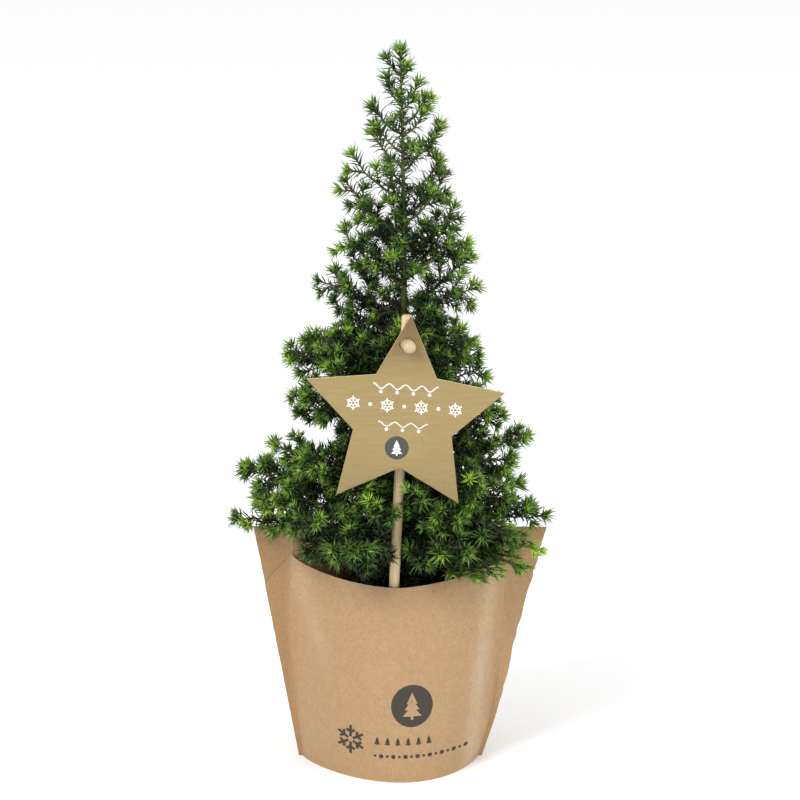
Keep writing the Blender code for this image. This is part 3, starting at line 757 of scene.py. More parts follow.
# White pen work on the star: two wavy garlands with baubles, and a row of snow crystals between
# them, over a small round seal with a fir.
# Each garland's height, half its width, how far it swings, and its number of waves.
GARLANDS = ((15.2 * MM, 16.0 * MM, 1.3 * MM, 4), (-3.8 * MM, 12.0 * MM, 1.1 * MM, 3))
CHALK = ink("white_pen", (0.86, 0.85, 0.80), 0.55)
STAR_INK = ink("star_ink", (0.055, 0.052, 0.050), 0.5)
drawing = bmesh.new()
for up, half_width, swing, count in GARLANDS:
    path = []
    for share in (step / 48 for step in range(49)):
        path.append(turned_flat((share * 2 - 1) * half_width,
                                up + swing * math.cos(share * 2 * math.pi * count)))
    stroke(drawing, path, 0.33 * MM)
    for step in range(count):
        share = (step + 0.5) / count
        disc(drawing, turned_flat((share * 2 - 1) * half_width, up - swing - 1.6 * MM), 0.85 * MM, 16)
for step in range(7):
    place = turned_flat((step - 3) * 8.4 * MM, 5.6 * MM)
    if step % 2:
        disc(drawing, place, 0.9 * MM, 16)
    else:
        crystal(drawing, place, 3.6 * MM, 0.62 * MM)
print_on("star_pen_work", drawing, lay_on_star, CHALK, "gold_card", CARD_CELL)
drawing = bmesh.new()
seal_middle = turned_flat(-2.2 * MM, -15.6 * MM)
disc(drawing, seal_middle, 5.9 * MM)
print_on("star_seal", drawing, lay_on_star, STAR_INK, "gold_card", CARD_CELL)
drawing = bmesh.new()
fir(drawing, (seal_middle[0], seal_middle[1] - 3.9 * MM), 7.8 * MM)
print_on("star_seal_fir", drawing, lay_on_star, CHALK, "gold_card", CARD_CELL, INK_LIFT)

# ---------------------------------------------------------------------------------------------
# Peg: a short turned piece of raw wood with a round, slightly swollen end, which goes through the
# star's hole and is glued to the dowel.
PEG_NECK = 2.75 * MM
PEG_HEAD = 3.2 * MM
peg_profile = [(0.0, 0.0), (0.0, PEG_NECK * 0.96), (0.03, PEG_NECK), (0.30, PEG_NECK * 0.98),
               (0.38, PEG_NECK * 1.02), (0.42, PEG_NECK * 1.12)]
for step in range(9):
    peg_profile.append((0.50 + 0.16 * step / 8, PEG_HEAD * (1 - 0.02 * step / 8)))
for step in range(1, 13):
    angle = step / 12 * math.pi / 2
    peg_profile.append((0.66 + 0.34 * math.sin(angle), PEG_HEAD * 0.98 * math.cos(angle)))
peg = rod("peg_stub", peg_start, peg_end, peg_profile, 36,
          wood("peg_wood", (0.34, 0.24, 0.14), (0.56, 0.45, 0.30), 1, 0.6), 0.22 * MM)
smooth(peg, 60)
put_in_frame(peg, "peg_wood", "peg")

# ---------------------------------------------------------------------------------------------
# Trunk: one thin leader, olive-brown and ridged at the foot, green and smooth towards the tip,
# from its flared foot on the compost to the top bud.
TRUNK_SIDES = 18
RING_STEP = 1.6 * MM
GREEN_FROM = 200 * MM             # height where the trunk turns green
FLARE_TOP = 9 * MM                # how far up the flutes of the foot run


def trunk_rings():
    """Height, middle and radius of each ring of the CAD trunk, from the foot up."""
    points = np.array([vert.co for vert in nodes["trunk"].data.vertices])
    heights = sorted(set(np.round(points[:, 2], 5)))
    rings = []
    for height in heights:
        ring = points[abs(points[:, 2] - height) < 1e-4]
        middle = ring.mean(0)
        rings.append((height, middle[0], middle[1], np.linalg.norm(ring - middle, axis=1).max()))
    return np.array(rings)


TRUNK = trunk_rings()


def trunk_at(height):
    """Middle and radius of the trunk at a height, by interpolation between the CAD rings."""
    row = [float(np.interp(height, TRUNK[:, 0], TRUNK[:, column])) for column in (1, 2, 3)]
    return Vector((row[0], row[1], height)), row[2]


def bark_material(name, dark, light, ridge):
    """Thin flaking bark: upright streaks with darker cracks."""
    made, tree = new_material(name, light, 0.75)
    streaks = noise_node(tree, 1300, 5.0, (1.0, 1.0, 0.22), 0.65)
    paint(tree, ramp_node(tree, streaks, (0.3, dark), (0.62, light)))
    bump_node(tree, streaks, ridge, 0.0004)
    return made


OLD_BARK = bark_material("old_bark", (0.050, 0.032, 0.018), (0.165, 0.110, 0.058), 0.8)
GREEN_BARK = bark_material("green_bark", (0.055, 0.080, 0.014), (0.120, 0.155, 0.030), 0.4)

shape = bmesh.new()
heights = np.arange(TRUNK[0, 0], TRUNK[-1, 0] - 3.0 * MM, RING_STEP)
ring = bmesh.ops.create_circle(shape, cap_ends=True, segments=TRUNK_SIDES, radius=1.0)["verts"]
for index, height in enumerate(heights):
    if index:
        edges = [shape.edges.get((ring[step - 1], ring[step])) for step in range(TRUNK_SIDES)]
        grown = bmesh.ops.extrude_edge_only(shape, edges=edges)["geom"]
        fresh = set(verts_in(grown))
        ring = [next(edge.other_vert(vert) for edge in vert.link_edges if edge.other_vert(vert) in fresh)
                for vert in ring]
    middle, radius = trunk_at(height)
    for step, vert in enumerate(ring):
        angle = 2 * math.pi * step / TRUNK_SIDES
        out = Vector((math.cos(angle), math.sin(angle), 0.0))
        flutes = 0.10 * math.cos(5 * angle + height * 30) * max(0.0, 1 - (height - soil) / FLARE_TOP)
        ridge = 0.13 * noise.fractal(Vector((out.x * 2.2, out.y * 2.2, height * 190)), 0.9, 2.0, 4)
        vert.co = middle + out * radius * (0.97 + flutes + ridge)
bmesh.ops.contextual_create(shape, geom=ring)
bmesh.ops.recalc_face_normals(shape, faces=shape.faces)
for face in shape.faces:
    face.material_index = 1 if face.calc_center_median().z > GREEN_FROM else 0
trunk = mesh_object("trunk_bark", shape, OLD_BARK, GREEN_BARK)
smooth(trunk, 60)
put_in_frame(trunk, "bark", "trunk")

# ---------------------------------------------------------------------------------------------
# Boughs and twigs: every bough grows on from its limb through its own mass of foliage to the
# mass's furthest tip, leading shoots fill the top and hang over the bag's mouth, and all of them
# branch by one seeded rule. Twigs alternate round the parent, lean forward and turn up at the end.
GOLDEN_ANGLE = math.pi * (3 - math.sqrt(5))
STEP = 2.0 * MM
TWIG_WANDER = 0.05
TWIG_LEAN = math.radians(48)
TWIG_LEAST = 4.0 * MM
TIP_MARGIN = 2.0 * MM                             # room kept for needles inside a mass's surface
FREE_ROOM = 16 * MM                               # a twig's most where no mass bounds it
LEAST_BRANCHED = 7 * MM                           # a shorter shoot carries no twigs
TOP_FROM = 283 * MM                               # above this the crown is open, with few twigs
UPPER_FROM = 236 * MM
SKIRT_BELOW = 127 * MM
# The gap between twigs, a twig's share of what is left of its parent, how often twigs branch
# again, and the lift of a twig's heading each step: by height, and for the flat fronds.
HABITS = {
    "top": (9.0 * MM, 0.36, 1, 0.050),
    "upper": (7.2 * MM, 0.48, 2, 0.035),
    "crown": (6.1 * MM, 0.56, 3, 0.026),
    "skirt": (6.3 * MM, 0.54, 2, 0.004),
    "frond": (5.0 * MM, 0.50, 1, -0.010),
}
SHOOT_RADIUS = (0.80 * MM, 0.48 * MM, 0.36 * MM, 0.30 * MM)
TIP_RADIUS = 0.22 * MM
STEEP = 0.9                                       # rise of a heading that counts as upright
# Leading shoots end on the crown's outline: how many, from what height to what height, the share
# of the crown's reach there, and how far the spread is kept to the left and right. The open top
# first, then the outline between the tiers, and the shoots that hang over the bag's mouth.
LEADERS = (
    (34, 359 * MM, 262 * MM, 0.98, 0.50),
    (24, 228 * MM, 172 * MM, 0.96, 0.85),
    (44, 158 * MM, 103 * MM, 0.95, 1.00),
)
LEADER_RISE = (0.80, 0.50, 0.45)                  # how steeply each kind climbs from the trunk
# The scooped rim stays in sight between these places: nothing in front of it hangs below it, and
# a needle has to end higher, by SIGHT_SLOPE, the further it stands in front of the sheet.
RIM_FREE_LEFT = 47 * MM
RIM_FREE_RIGHT = 40 * MM
RIM_CLEAR = 1.5 * MM
SIGHT_SLOPE = 0.26
SKIRT_FREE_LOW = 95 * MM
SKIRT_FREE_HIGH = 125 * MM
SHEET_PLACES = (-34 * MM, -24 * MM)               # the sheet's depth at those two heights
# A dark hollow is left just inside the lowest part of the rim.
MOUTH_HOLLOW = (np.array((-27, -60, 80)) * MM, np.array((36, -14, 108)) * MM)
PAPER_CLEAR = 0.4 * MM                            # above a sheet's edge
CARD_CLEAR = (0.8 * MM, 0.7 * MM)                 # in front of the star and behind it
DOWEL_CLEAR = 0.25 * MM
# Flat fronds with their needles in two ranks, at the right of the mouth: millimetres across, in
# depth and up.
FROND_TIPS = ((71, -31, 116), (64, -36, 108), (52, -38, 106), (42, -38, 104), (58, -33, 124),
              (30, -37, 106))
FROND_ROOT = 112 * MM
# Shoots straight from the trunk, in the crown's heart: their share of the crown's reach, how steeply they
# climb, and the height between them in millimetres.
HEART = {
    "top": (0.50, 0.95, 13.0),
    "upper": (0.66, 0.80, 6.0),
    "crown": (0.74, 0.50, 4.2),
    "skirt": (0.80, 0.35, 4.5),
}
HEART_TOP = 345 * MM
POT_REACH = 26 * MM                               # the most that a heart shoot reaches in the bag
MOUTH_REACH = 34 * MM                             # and a leading shoot below the rim
rng = np.random.default_rng(20)
noise.seed_set(20)

mass_nodes = sorted(name for name in nodes if name.startswith("foliage_"))
crown = {name: np.array([vert.co for vert in nodes[name].data.vertices]) for name in mass_nodes}
crown_points = np.concatenate([crown[name] for name in mass_nodes])
shoots = []


def from_trunk(points):
    """The level offsets of points from the trunk's middle at their heights."""
    middle = np.array([np.interp(points[:, 2], TRUNK[:, 0], TRUNK[:, column]) for column in (1, 2)]).T
    return points[:, :2] - middle


crown_offset = from_trunk(crown_points)
crown_reach = np.linalg.norm(crown_offset, axis=1)
crown_angle = np.arctan2(crown_offset[:, 1], crown_offset[:, 0])


def zone_at(height):
    """The part of the crown that a height belongs to."""
    if height > TOP_FROM:
        return "top"
    if height > UPPER_FROM:
        return "upper"
    return "crown" if height > SKIRT_BELOW else "skirt"


def reach_at(height, angle):
    """How far the crown reaches from the trunk at a height, on one side."""
    near = np.abs(crown_points[:, 2] - height) < 11 * MM
    turn = np.abs((crown_angle - angle + math.pi) % (2 * math.pi) - math.pi)
    near &= turn < math.radians(38)
    if near.sum() < 4:
        return 9 * MM
    return float(np.percentile(crown_reach[near], 88))


def star_covers(across, up):
    """Whether a place seen from the front lies behind or in front of the star."""
    reach = np.hypot(across - star_centre.x, up - star_centre.z)
    angle = np.arctan2(across - star_centre.x, up - star_centre.z) - STAR_TURN
    fifth = 2 * math.pi / 5
    turn = np.abs((angle + fifth / 2) % fifth - fifth / 2)
    inner = star_radius * STAR_NOTCH_SHARE
    limit = star_radius * inner * math.sin(fifth / 2) / (
        inner * np.sin(fifth / 2 - turn) + star_radius * np.sin(turn))
    return reach < limit + 0.8 * MM


def paper_zone(points):
    """For points: -1 in front of the bag, 0 inside it, 1 behind it; and the edges above them."""
    left, right, fin, belly, seam, sharpness = bag_outline(np.clip(points[:, 2], 0.0, bag_top))
    share = np.clip((points[:, 0] - (left + right) / 2) / ((right - left) / 2 - fin), -1.0, 1.0)
    bulge = belly * np.sqrt(1 - share ** 2) ** sharpness
    behind = np.where(points[:, 1] > seam + bulge + PAPER, 1, 0)
    zone = np.where(points[:, 1] < seam - bulge - PAPER, -1, behind)
    edge = scoop_peak - SCOOP_DROP * (1 - np.abs(np.arcsin(share) / (math.pi / 2)) ** SCOOP_CURVE)
    within = (points[:, 0] > left - 2 * MM) & (points[:, 0] < right + 2 * MM)
    return zone, np.where(within, edge, 0.0), np.where(within, bag_top, 0.0)


def blocked(starts, ends):
    """Which segments would go through the paper, the star or the dowel."""
    low = np.minimum(starts[:, 2], ends[:, 2])
    zone_one, front_one, back_one = paper_zone(starts)
    zone_two, front_two, back_two = paper_zone(ends)
    sheet_front = np.interp(ends[:, 2], (SKIRT_FREE_LOW, SKIRT_FREE_HIGH), SHEET_PLACES)
    dips = ends[:, 2] < front_two + RIM_CLEAR + np.maximum(sheet_front - ends[:, 1], 0.0) * SIGHT_SLOPE
    dips &= (zone_two == -1) & (ends[:, 0] > -RIM_FREE_LEFT) & (ends[:, 0] < RIM_FREE_RIGHT)
    low_hollow, high_hollow = MOUTH_HOLLOW
    hollow = ((ends > low_hollow) & (ends < high_hollow)).all(1) & (zone_two == 0)
    hit = ((zone_one == -1) != (zone_two == -1)) & (low < np.maximum(front_one, front_two) + PAPER_CLEAR)
    hit |= ((zone_one == 1) != (zone_two == 1)) & (low < np.maximum(back_one, back_two) + PAPER_CLEAR)
    hit |= dips | hollow
    front = star_low.y - CARD_CLEAR[0]
    back = star_high.y + CARD_CLEAR[1]
    through = (np.minimum(starts[:, 1], ends[:, 1]) < back) & (np.maximum(starts[:, 1], ends[:, 1]) > front)
    hit |= through & (star_covers(starts[:, 0], starts[:, 2]) | star_covers(ends[:, 0], ends[:, 2]))
    along = np.array(dowel_end - dowel_start)
    for points in (starts, (starts + ends) / 2, ends):
        share = np.clip((points - np.array(dowel_start)) @ along / (along @ along), 0.0, 1.0)
        gap = np.linalg.norm(points - (np.array(dowel_start) + share[:, None] * along), axis=1)
        hit |= gap < DOWEL_RADIUS + DOWEL_CLEAR
    return hit


def envelope_of(name):
    """The surface of a mass of foliage, to measure the room inside it."""
    return BVHTree.FromPolygons([vert.co.copy() for vert in nodes[name].data.vertices],
                                [tuple(face.vertices) for face in nodes[name].data.polygons])


def room_in(envelope, place, heading):
    """How far a twig can run before it leaves its mass; a short run where it starts outside."""
    if envelope is None:
        return FREE_ROOM
    hit, normal, _, distance = envelope.ray_cast(place, heading)
    if hit is None:
        return 5 * MM
    if normal.dot(heading) > 0:
        return distance
    return distance + 9 * MM


def side_heading(along, turn, lean):
    """A heading that leans out from along by lean, turned round it by turn from level."""
    level = along.cross(Vector((0, 0, 1)))
    level = level.normalized() if level.length > 0.05 else Vector((1, 0, 0))
    upward = level.cross(along).normalized()
    out = level * math.cos(turn) + upward * math.sin(turn) * 0.75
    return (along * math.cos(lean) + out.normalized() * math.sin(lean)).normalized()


def distances(run):
    """How far along a run of points each of them is."""
    return np.concatenate(([0.0], np.cumsum(np.linalg.norm(np.diff(run, axis=0), axis=1))))


def free_run(points):
    """The part of a run of points before it would meet the paper, the star or the dowel."""
    run = np.array(points)
    hits = blocked(run[:-1], run[1:])
    end = int(hits.argmax()) if hits.any() else len(run) - 1
    return points[:end + 1]


def wandering(start, heading, length, lift):
    """Points of a twig that wanders a little and lifts at each step."""
    steps = max(2, round(length / STEP))
    points = [start.copy()]
    heading = heading.normalized()
    for _ in range(steps):
        wander = Vector(rng.normal(0.0, TWIG_WANDER, 3))
        heading = (heading + Vector((0, 0, lift)) + wander).normalized()
        points.append(points[-1] + heading * (length / steps))
    return points


def grow_twig(start, heading, length, order, envelope, flat=False):
    """Grow a shoot that finds its own way from a start."""
    lift = HABITS["frond" if flat else zone_at(start.z)][3]
    grow(wandering(start, heading, length, lift), order, envelope, flat)


def grow(path, order, envelope, flat=False):
    """Grow a shoot on a path and, along it, its twigs; those of a flat one lie to its two sides."""
    zone = "frond" if flat else zone_at(path[0].z)
    gap, share, branching, _ = HABITS[zone]
    points = free_run(path)
    if len(points) < 3:
        return
    run = np.array(points)
    travelled = distances(run)
    length = travelled[-1]
    shoots.append((run, travelled, order, zone))
    if order >= branching or length < LEAST_BRANCHED:
        return
    place = gap * (1.6 if order == 0 else 0.9)
    turn = rng.uniform(0, 2 * math.pi)
    while place < length - 2.5 * MM:
        at = Vector([float(np.interp(place, travelled, run[:, axis])) for axis in range(3)])
        nearby = max(min(int(np.searchsorted(travelled, place)), len(run) - 1), 1)
        along = Vector(run[nearby] - run[nearby - 1]).normalized()
        turn += GOLDEN_ANGLE + rng.normal(0.0, 0.25)
        if flat:
            turn = math.pi * round(turn / math.pi) + math.pi
        outward = side_heading(along, turn, TWIG_LEAN + rng.normal(0.0, 0.12))
        wanted = (length - place) * share + TWIG_LEAST + rng.uniform(0.0, 3.0) * MM
        wanted = min(wanted, room_in(envelope, at, outward) - TIP_MARGIN)
        if wanted > TWIG_LEAST * 0.9:
            grow_twig(at, outward, wanted * rng.uniform(0.78, 1.0), order + 1, envelope, flat)
        place += gap * rng.uniform(0.75, 1.25)


def curve_through(start, lean, end, sway):
    """Points on one smooth bend from start towards lean and on to end, with a slight wander."""
    count = max(4, round((end - start).length / STEP))
    points = []
    for step in range(count + 1):
        share = step / count
        point = start * (1 - share) ** 2 + lean * 2 * share * (1 - share) + end * share ** 2
        if 0 < step < count:
            point = point + noise.noise_vector(Vector((sway * 7.3, step * 0.35, 1.0))) * 0.8 * MM
        points.append(point)
    return points


# Boughs through the masses of the middle and lower crown.
for index, name in enumerate(mass_nodes):
    points = crown[name]
    centre = Vector(points.mean(0))
    if centre.z > TOP_FROM - 5 * MM or "inside" in name:
        continue
    axis_place, _ = trunk_at(centre.z)
    outwards = Vector((centre.x - axis_place.x, centre.y - axis_place.y, 0)).normalized()
    score = (points - np.array(axis_place)) @ np.array(outwards)
    tip = Vector(points[int(score.argmax())]) - outwards * 4.0 * MM
    limb = name.replace("foliage_", "bough_")
    if limb in nodes:
        limb_start, limb_end = axis_ends(limb)
        trunk_place, _ = trunk_at(limb_start.z - 0.6 * MM)
        lean = (limb_end + (limb_end - limb_start) * 1.3 + centre) / 2
    else:
        inner = points[int(score.argmin())]
        trunk_place, _ = trunk_at(max(inner[2] - 0.35 * (tip.z - inner[2]) - 3 * MM, soil + 12 * MM))
        lean = centre
    grow(curve_through(trunk_place, lean, tip, index), 0, envelope_of(name))

# Leading shoots at the top, between the tiers and over the mouth of the bag.
turn = math.radians(20)
for (count, highest, lowest, reach_share, depth_share), rise in zip(LEADERS, LEADER_RISE):
    for index in range(count):
        height = highest + (lowest - highest) * index / (count - 1)
        turn = (turn + GOLDEN_ANGLE) % (2 * math.pi)
        reach = reach_at(height, turn) * (reach_share * rng.uniform(0.86, 1.0))
        if height < scoop_peak:
            reach = min(reach, MOUTH_REACH)
        away = Vector((math.cos(turn) * reach, math.sin(turn) * reach * depth_share, 0.0))
        end = trunk_at(height)[0] + away
        start, _ = trunk_at(max(height - rise * away.length - 3 * MM, soil + 42 * MM))
        lean = start + away * 0.62 + Vector((0, 0, (end.z - start.z) * 0.28))
        if highest < UPPER_FROM:
            lean = (start + end) / 2
            lean.z = max(start.z, end.z) + (4 * MM if height > scoop_peak else 0.0)
        grow(curve_through(start, lean, end, 50 + index), 0, None)

for index, tip in enumerate(FROND_TIPS):
    end = Vector(tip) * MM
    start, _ = trunk_at(FROND_ROOT)
    lean = (start + end) / 2
    lean.z = end.z + 16 * MM
    grow(curve_through(start, lean, end, 160 + index), 0, None, True)

# Shoots straight from the trunk fill the heart of the crown between the boughs.
height = soil + 14 * MM
turn = 0.7
while height < HEART_TOP:
    zone = zone_at(height)
    share, rise, between = HEART[zone]
    turn = (turn + GOLDEN_ANGLE) % (2 * math.pi)
    reach = reach_at(height + 7 * MM, turn)
    if height < bag_top - 6 * MM:
        reach = min(reach, POT_REACH)
    heading = Vector((math.cos(turn), math.sin(turn), rise)).normalized()
    facing_front = math.radians(225) < turn < math.radians(315)
    if not (facing_front and zone == "top"):
        grow_twig(trunk_at(height)[0], heading, reach * share * rng.uniform(0.75, 1.05), 1, None)
    height += between * MM * rng.uniform(0.8, 1.2)


def joined_mesh(name, points, corners, counts, slots, finishes, slot):
    """One mesh from arrays: all points, each face's corners in a row, and each face's finish."""
    mesh = bpy.data.meshes.new(name)
    mesh.vertices.add(len(points))
    mesh.vertices.foreach_set("co", np.ascontiguousarray(points, dtype=np.float32).ravel())
    mesh.loops.add(len(corners))
    mesh.loops.foreach_set("vertex_index", np.ascontiguousarray(corners, dtype=np.int32))
    mesh.polygons.add(len(counts))
    starts = np.concatenate(([0], np.cumsum(counts)[:-1])).astype(np.int32)
    mesh.polygons.foreach_set("loop_start", starts)
    for finish in finishes:
        mesh.materials.append(finish)
    mesh.polygons.foreach_set("material_index", np.ascontiguousarray(slots, dtype=np.int32))
    mesh.polygons.foreach_set("use_smooth", np.ones(len(counts), dtype=bool))
    mesh.update(calc_edges=True)
    mesh.validate()
    made = bpy.data.objects.new(name, mesh)
    scene.collection.objects.link(made)
    put_in_frame(made, slot)
    return made


def unit(vectors):
    """Rows of an array, each made one long."""
    return vectors / np.maximum(np.linalg.norm(vectors, axis=1), 1e-12)[:, None]


def frame_about(along, steep):
    """Two directions across each heading: sideways and upward, or from X where it is steep."""
    guide = np.where(steep, np.array([[1.0, 0.0, 0.0]]), np.array([[0.0, 0.0, 1.0]]))
    side = unit(np.cross(along, guide))
    return side, np.cross(side, along)


def tube(run, radii, sides, relief):
    """Points and quads of a tapering tube along a run of points, closed at both ends."""
    along = unit(np.gradient(run, axis=0))
    side, upward = frame_about(along, abs(along[0, 2]) >= STEEP)
    angles = np.arange(sides) * 2 * math.pi / sides
    place = np.arange(len(run))[:, None]
    ridges = 1 + relief * (np.sin(angles * 3 + place * 1.7) + np.sin(angles * 5 - place * 2.9))
    across = np.cos(angles)[None, :, None] * side[:, None, :]
    up = np.sin(angles)[None, :, None] * upward[:, None, :]
    rings = run[:, None, :] + (radii[:, None] * ridges)[:, :, None] * (across + up)
    index = np.arange(len(run) * sides).reshape(len(run), sides)
    low, high = index[:-1], index[1:]
    quads = np.stack([low, np.roll(low, -1, axis=1), np.roll(high, -1, axis=1), high], axis=-1)
    return rings.reshape(-1, 3), quads.reshape(-1, 4), index[0][::-1], index[-1]


def joined_tubes(name, chosen, sides, relief, finishes, finish_of):
    """All of the chosen shoots' wood in one piece; finish_of picks a finish by order and length."""
    points, corners, counts, slots = [], [], [], []
    shift = 0
    for run, travelled, order, _ in chosen:
        base = SHOOT_RADIUS[order] * (0.75 + 0.35 * min(travelled[-1] / (40 * MM), 1.4))
        radii = np.interp(travelled / travelled[-1], (0.0, 1.0), (base, TIP_RADIUS))
        rings, quads, foot_cap, tip_cap = tube(run, radii, sides, relief)
        points.append(rings)
        corners += [(quads + shift).ravel(), foot_cap + shift, tip_cap + shift]
        counts += [np.full(len(quads), 4), np.array([sides]), np.array([sides])]
        slots.append(np.full(len(quads) + 2, finish_of(order, travelled[-1])))
        shift += len(rings)
    joined = [np.concatenate(part) for part in (points, corners, counts, slots)]
    return joined_mesh(name, *joined, finishes, "bark")


boughs = joined_tubes("boughs", [item for item in shoots if item[2] == 0], 9, 0.07,
                      (OLD_BARK, GREEN_BARK), lambda order, length: 0 if length > 45 * MM else 1)
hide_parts(*sorted(name for name in nodes if name.startswith("bough_")))
twig_green, _ = new_material("twig_green", (0.070, 0.120, 0.022), 0.6)
twig_brown, _ = new_material("twig_brown", (0.095, 0.065, 0.030), 0.7)
joined_tubes("twigs", [item for item in shoots if item[2] > 0], 4, 0.0, (twig_brown, twig_green),
             lambda order, length: 0 if order == 1 and length > 16 * MM else 1)

# ---------------------------------------------------------------------------------------------
# Needles: soft, narrow juvenile needles in a spiral round every shoot, long and dark on the older
# wood and bent back a little, short and yellow-green in a tight tuft at each tip. Each is a closed
# three-sided awl. They are joined by zone; their plain greens are dealt out by spray and age, and darker
# ones as painted shade low in the bag's mouth.
NEEDLE_GAPS = (0.44 * MM, 0.80 * MM)          # at the tip of a shoot and 14 mm behind it
NEEDLE_LENGTH = 7.3 * MM
NEEDLE_WIDTH = 0.98 * MM
RAYS = 14                         # needles that spread like a star round a tip
BUDS = 9                          # and the short young ones in its middle
PIECE_LIMIT = 19000               # needles in one joined piece, at 10 triangles each
# How long a zone's needles are, how much older they look, and the age by distance from the tip.
ZONE_SIZE = {"top": 0.97, "upper": 0.88, "crown": 0.90, "skirt": 1.0, "frond": 0.95}
ZONE_AGE = {"top": -0.05, "upper": 0.0, "crown": 0.15, "skirt": 0.75, "frond": 0.0}
AGE_PLACES = (0.0, 1.8 * MM, 4 * MM, 9 * MM, 18 * MM, 30 * MM)
AGES = (0.9, 1.2, 2.1, 2.8, 3.3, 3.7)
LEAD_FROM = 240 * MM              # where the leader's own needles begin
# The darker greens also serve as painted shade for the needles low in the bag's mouth.
GREENS = (
    ("needle_bud", (0.310, 0.500, 0.048)),
    ("needle_young", (0.140, 0.270, 0.030)),
    ("needle_fresh", (0.060, 0.127, 0.017)),
    ("needle_full", (0.023, 0.053, 0.009)),
    ("needle_old_and_shaded", (0.008, 0.019, 0.004)),
)
LONGEST_SHOOT = 160 * MM
OLD_WOOD = 14 * MM                # this far behind its tip a shoot's needles are full grown
spacing = [0.0]
while spacing[-1] < LONGEST_SHOOT:
    spacing.append(spacing[-1] + float(np.interp(spacing[-1], (0.0, OLD_WOOD), NEEDLE_GAPS)))
spacing = np.array(spacing)
needle_finishes = []
for name, colour in GREENS:
    made, _ = new_material(name, colour, 0.42, 0.34)
    needle_finishes.append(made)


def needles_of(run, travelled, order, zone):
    """Foot, heading, bend, length, distance from the tip, bud mark and width of a shoot's needles."""
    length = travelled[-1]
    first = 3.0 * MM if order == 0 else 0.8 * MM
    places = length - spacing[spacing < length - first]
    places = places + rng.uniform(-0.2, 0.2, len(places)) * MM
    rays = length - rng.uniform(0.2, 1.6, RAYS) * MM
    buds = length - rng.uniform(0.0, 0.7, BUDS) * MM
    count = len(places)
    places = np.clip(np.concatenate((places, rays, buds)), 0.0, length)
    foot = np.stack([np.interp(places, travelled, run[:, axis]) for axis in range(3)], axis=1)
    slope = np.gradient(run, axis=0)
    along = unit(np.stack([np.interp(places, travelled, slope[:, axis]) for axis in range(3)], axis=1))
    side, upward = frame_about(along, np.abs(along[:, 2:3]) >= STEEP)
    turn = np.arange(len(places)) * GOLDEN_ANGLE + rng.uniform(0, 6.28) + rng.normal(0, 0.2, len(places))
    if zone == "frond":
        turn = (np.arange(len(places)) % 2) * math.pi + rng.normal(0.0, 0.22, len(places)) + 0.12
    out = side * np.cos(turn)[:, None] + upward * np.sin(turn)[:, None]
    to_tip = length - places
    lean = np.interp(to_tip, (0.0, 5 * MM, OLD_WOOD), (40, 52, 68))
    lean = np.radians(lean + rng.normal(0, 8, len(places)))
    lean[count:count + RAYS] = np.radians(rng.uniform(38, 82, RAYS))
    lean[count + RAYS:] = np.radians(rng.uniform(5, 42, BUDS))
    heading = along * np.cos(lean)[:, None] + out * np.sin(lean)[:, None]
    size = NEEDLE_LENGTH * (0.86 + 0.14 * np.clip(to_tip / (6 * MM), 0, 1))
    size = size * rng.uniform(0.82, 1.1, len(places))
    if zone in ("skirt", "frond"):
        size[count:] *= 1.22
    size[count + RAYS:] = rng.uniform(2.4, 4.4, BUDS) * MM
    size *= ZONE_SIZE[zone]
    curl = np.interp(to_tip, (0.0, 5 * MM, OLD_WOOD), (0.25, 0.05, -0.50)) + rng.normal(0, 0.12, len(places))
    bend = heading * 0.9 + along * curl[:, None]
    bud = np.zeros(len(places))
    bud[count + RAYS:] = 1.0
    width = NEEDLE_WIDTH * np.interp(to_tip, (3 * MM, OLD_WOOD), (1.0, 0.76))
    if zone in ("skirt", "top"):
        width *= 1.16
    return foot, heading, bend, size, to_tip, bud, width


def blade_mesh(name, batch):
    """Join a batch of needles: a foot ring, a middle ring and a point for each."""
    foot, heading, bend, size, slots, broad = batch
    count = len(foot)
    side, upward = frame_about(heading, np.abs(heading[:, 2:3]) >= STEEP)
    onward = unit(bend + rng.normal(0.0, 0.10, (count, 3)))
    middle = foot + heading * (size * 0.48)[:, None]
    point = middle + onward * (size * 0.54)[:, None]
    rings = []
    for centre, width in ((foot, 0.90), (middle, 0.95)):
        half = broad / 2 * width * (0.75 + 0.25 * size / NEEDLE_LENGTH)
        for across, up in ((-0.95, -0.30), (0.95, -0.30), (0.0, 0.62)):
            rings.append(centre + side * (half * across)[:, None] + upward * (half * up)[:, None])
    points = np.stack(rings + [point], axis=1).reshape(-1, 3)
    quads = np.array(((0, 1, 4, 3), (1, 2, 5, 4), (2, 0, 3, 5)))
    triangles = np.array(((3, 4, 6), (4, 5, 6), (5, 3, 6), (0, 2, 1)))
    pattern = np.concatenate((quads.ravel(), triangles.ravel()))
    corners = (np.arange(count)[:, None] * 7 + pattern[None, :]).ravel()
    counts = np.tile(np.array((4, 4, 4, 3, 3, 3, 3)), count)
    return joined_mesh(name, points, corners, counts, np.repeat(slots, 7), needle_finishes, "needles")


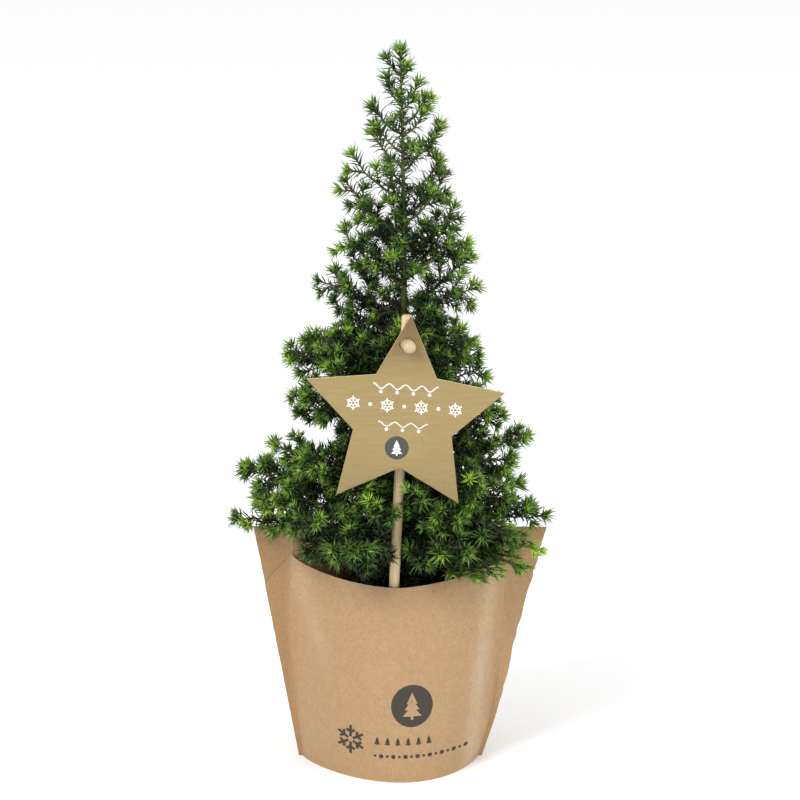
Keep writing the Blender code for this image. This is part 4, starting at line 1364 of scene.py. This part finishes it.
# The leading shoot itself carries needles down to where the crown closes round it.
MOUTH_SHADE = 110 * MM            # below this the needles are dealt darker greens as painted shade, those inside the bag the darkest
lead_top = TRUNK[-1, 0] - 3.2 * MM
lead_run = np.array([trunk_at(height)[0] for height in (*np.arange(LEAD_FROM, lead_top, STEP), lead_top)])
gathered = {}
for run, travelled, order, zone in shoots + [(lead_run, distances(lead_run), 1, "top")] * 2:
    foot, heading, bend, size, to_tip, bud, width = needles_of(run, travelled, order, zone)
    offset = from_trunk(foot)
    side = np.arctan2(offset[:, 1].mean(), offset[:, 0].mean())
    crown_edge = max(reach_at(float(foot[-1, 2]), side), 8 * MM)
    outer = np.clip(np.linalg.norm(offset, axis=1) / crown_edge, 0.0, 1.15)
    if zone == "top":
        outer = np.maximum(outer, 0.75)
    age_and_shade = np.interp(to_tip, AGE_PLACES, AGES) + np.clip(0.92 - outer, -0.2, 1.0) * 2.8
    age_and_shade = age_and_shade + rng.normal(0, 0.45) + rng.normal(0, 0.3, len(age_and_shade))
    age_and_shade += ZONE_AGE[zone]
    age_and_shade = np.where(bud > 0, age_and_shade - 1.1, age_and_shade)
    # Painted shade: needles low in the bag's mouth are dealt darker greens, and those inside the bag darker
    # still.
    inside = (paper_zone(foot)[0] == 0) & (foot[:, 2] < MOUTH_SHADE)
    age_and_shade += 2.2 * inside + 0.8 * (foot[:, 2] < MOUTH_SHADE)
    slots = np.clip(np.round(age_and_shade), 0, len(GREENS) - 1).astype(int)
    keep = ~blocked(foot, foot + heading * size[:, None])
    keep &= foot[:, 2] > soil + 4 * MM
    kept = [part[keep] for part in (foot, heading, bend, size, slots, width)]
    gathered.setdefault(zone, []).append(kept)

pieces = []
for zone in sorted(gathered):
    batch = [np.concatenate(part) for part in zip(*gathered[zone])]
    for start in range(0, len(batch[0]), PIECE_LIMIT):
        pieces.append([part[start:start + PIECE_LIMIT] for part in batch])
for index, batch in enumerate(pieces):
    made = blade_mesh(f"needles_{index + 1}", batch)
    if index == 0:
        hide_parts(*mass_nodes)

# ---------------------------------------------------------------------------------------------
# Table top and light: a plain pale sweep, an even white sky, a large soft light high on the left
# and a weaker one on the right.
LIT_MIDDLE = Vector((0, 0, 170 * MM))
paper_white, _ = new_material("sweep", (0.93, 0.93, 0.93), 0.9)
shape = bmesh.new()
bmesh.ops.create_grid(shape, x_segments=1, y_segments=1, size=6.0)
floor = mesh_object("sweep", shape, paper_white)

world = bpy.data.worlds.new("studio")
scene.world = world
world.use_nodes = True
world.node_tree.nodes["Background"].inputs["Color"].default_value = (1.0, 1.0, 1.0, 1.0)
world.node_tree.nodes["Background"].inputs["Strength"].default_value = 1.0


def area_light(name, place, size, power):
    """A round soft light aimed at the middle of the tree."""
    data = bpy.data.lights.new(name, "AREA")
    data.shape = "DISK"
    data.size = size
    data.energy = power
    lamp = bpy.data.objects.new(name, data)
    lamp.location = place
    aim = LIT_MIDDLE - Vector(place)
    lamp.rotation_euler = aim.to_track_quat("-Z", "Y").to_euler()
    scene.collection.objects.link(lamp)


area_light("key", (-0.9, -1.3, 1.5), 0.9, 22.0)
area_light("fill", (1.3, -0.9, 0.8), 0.9, 8.0)
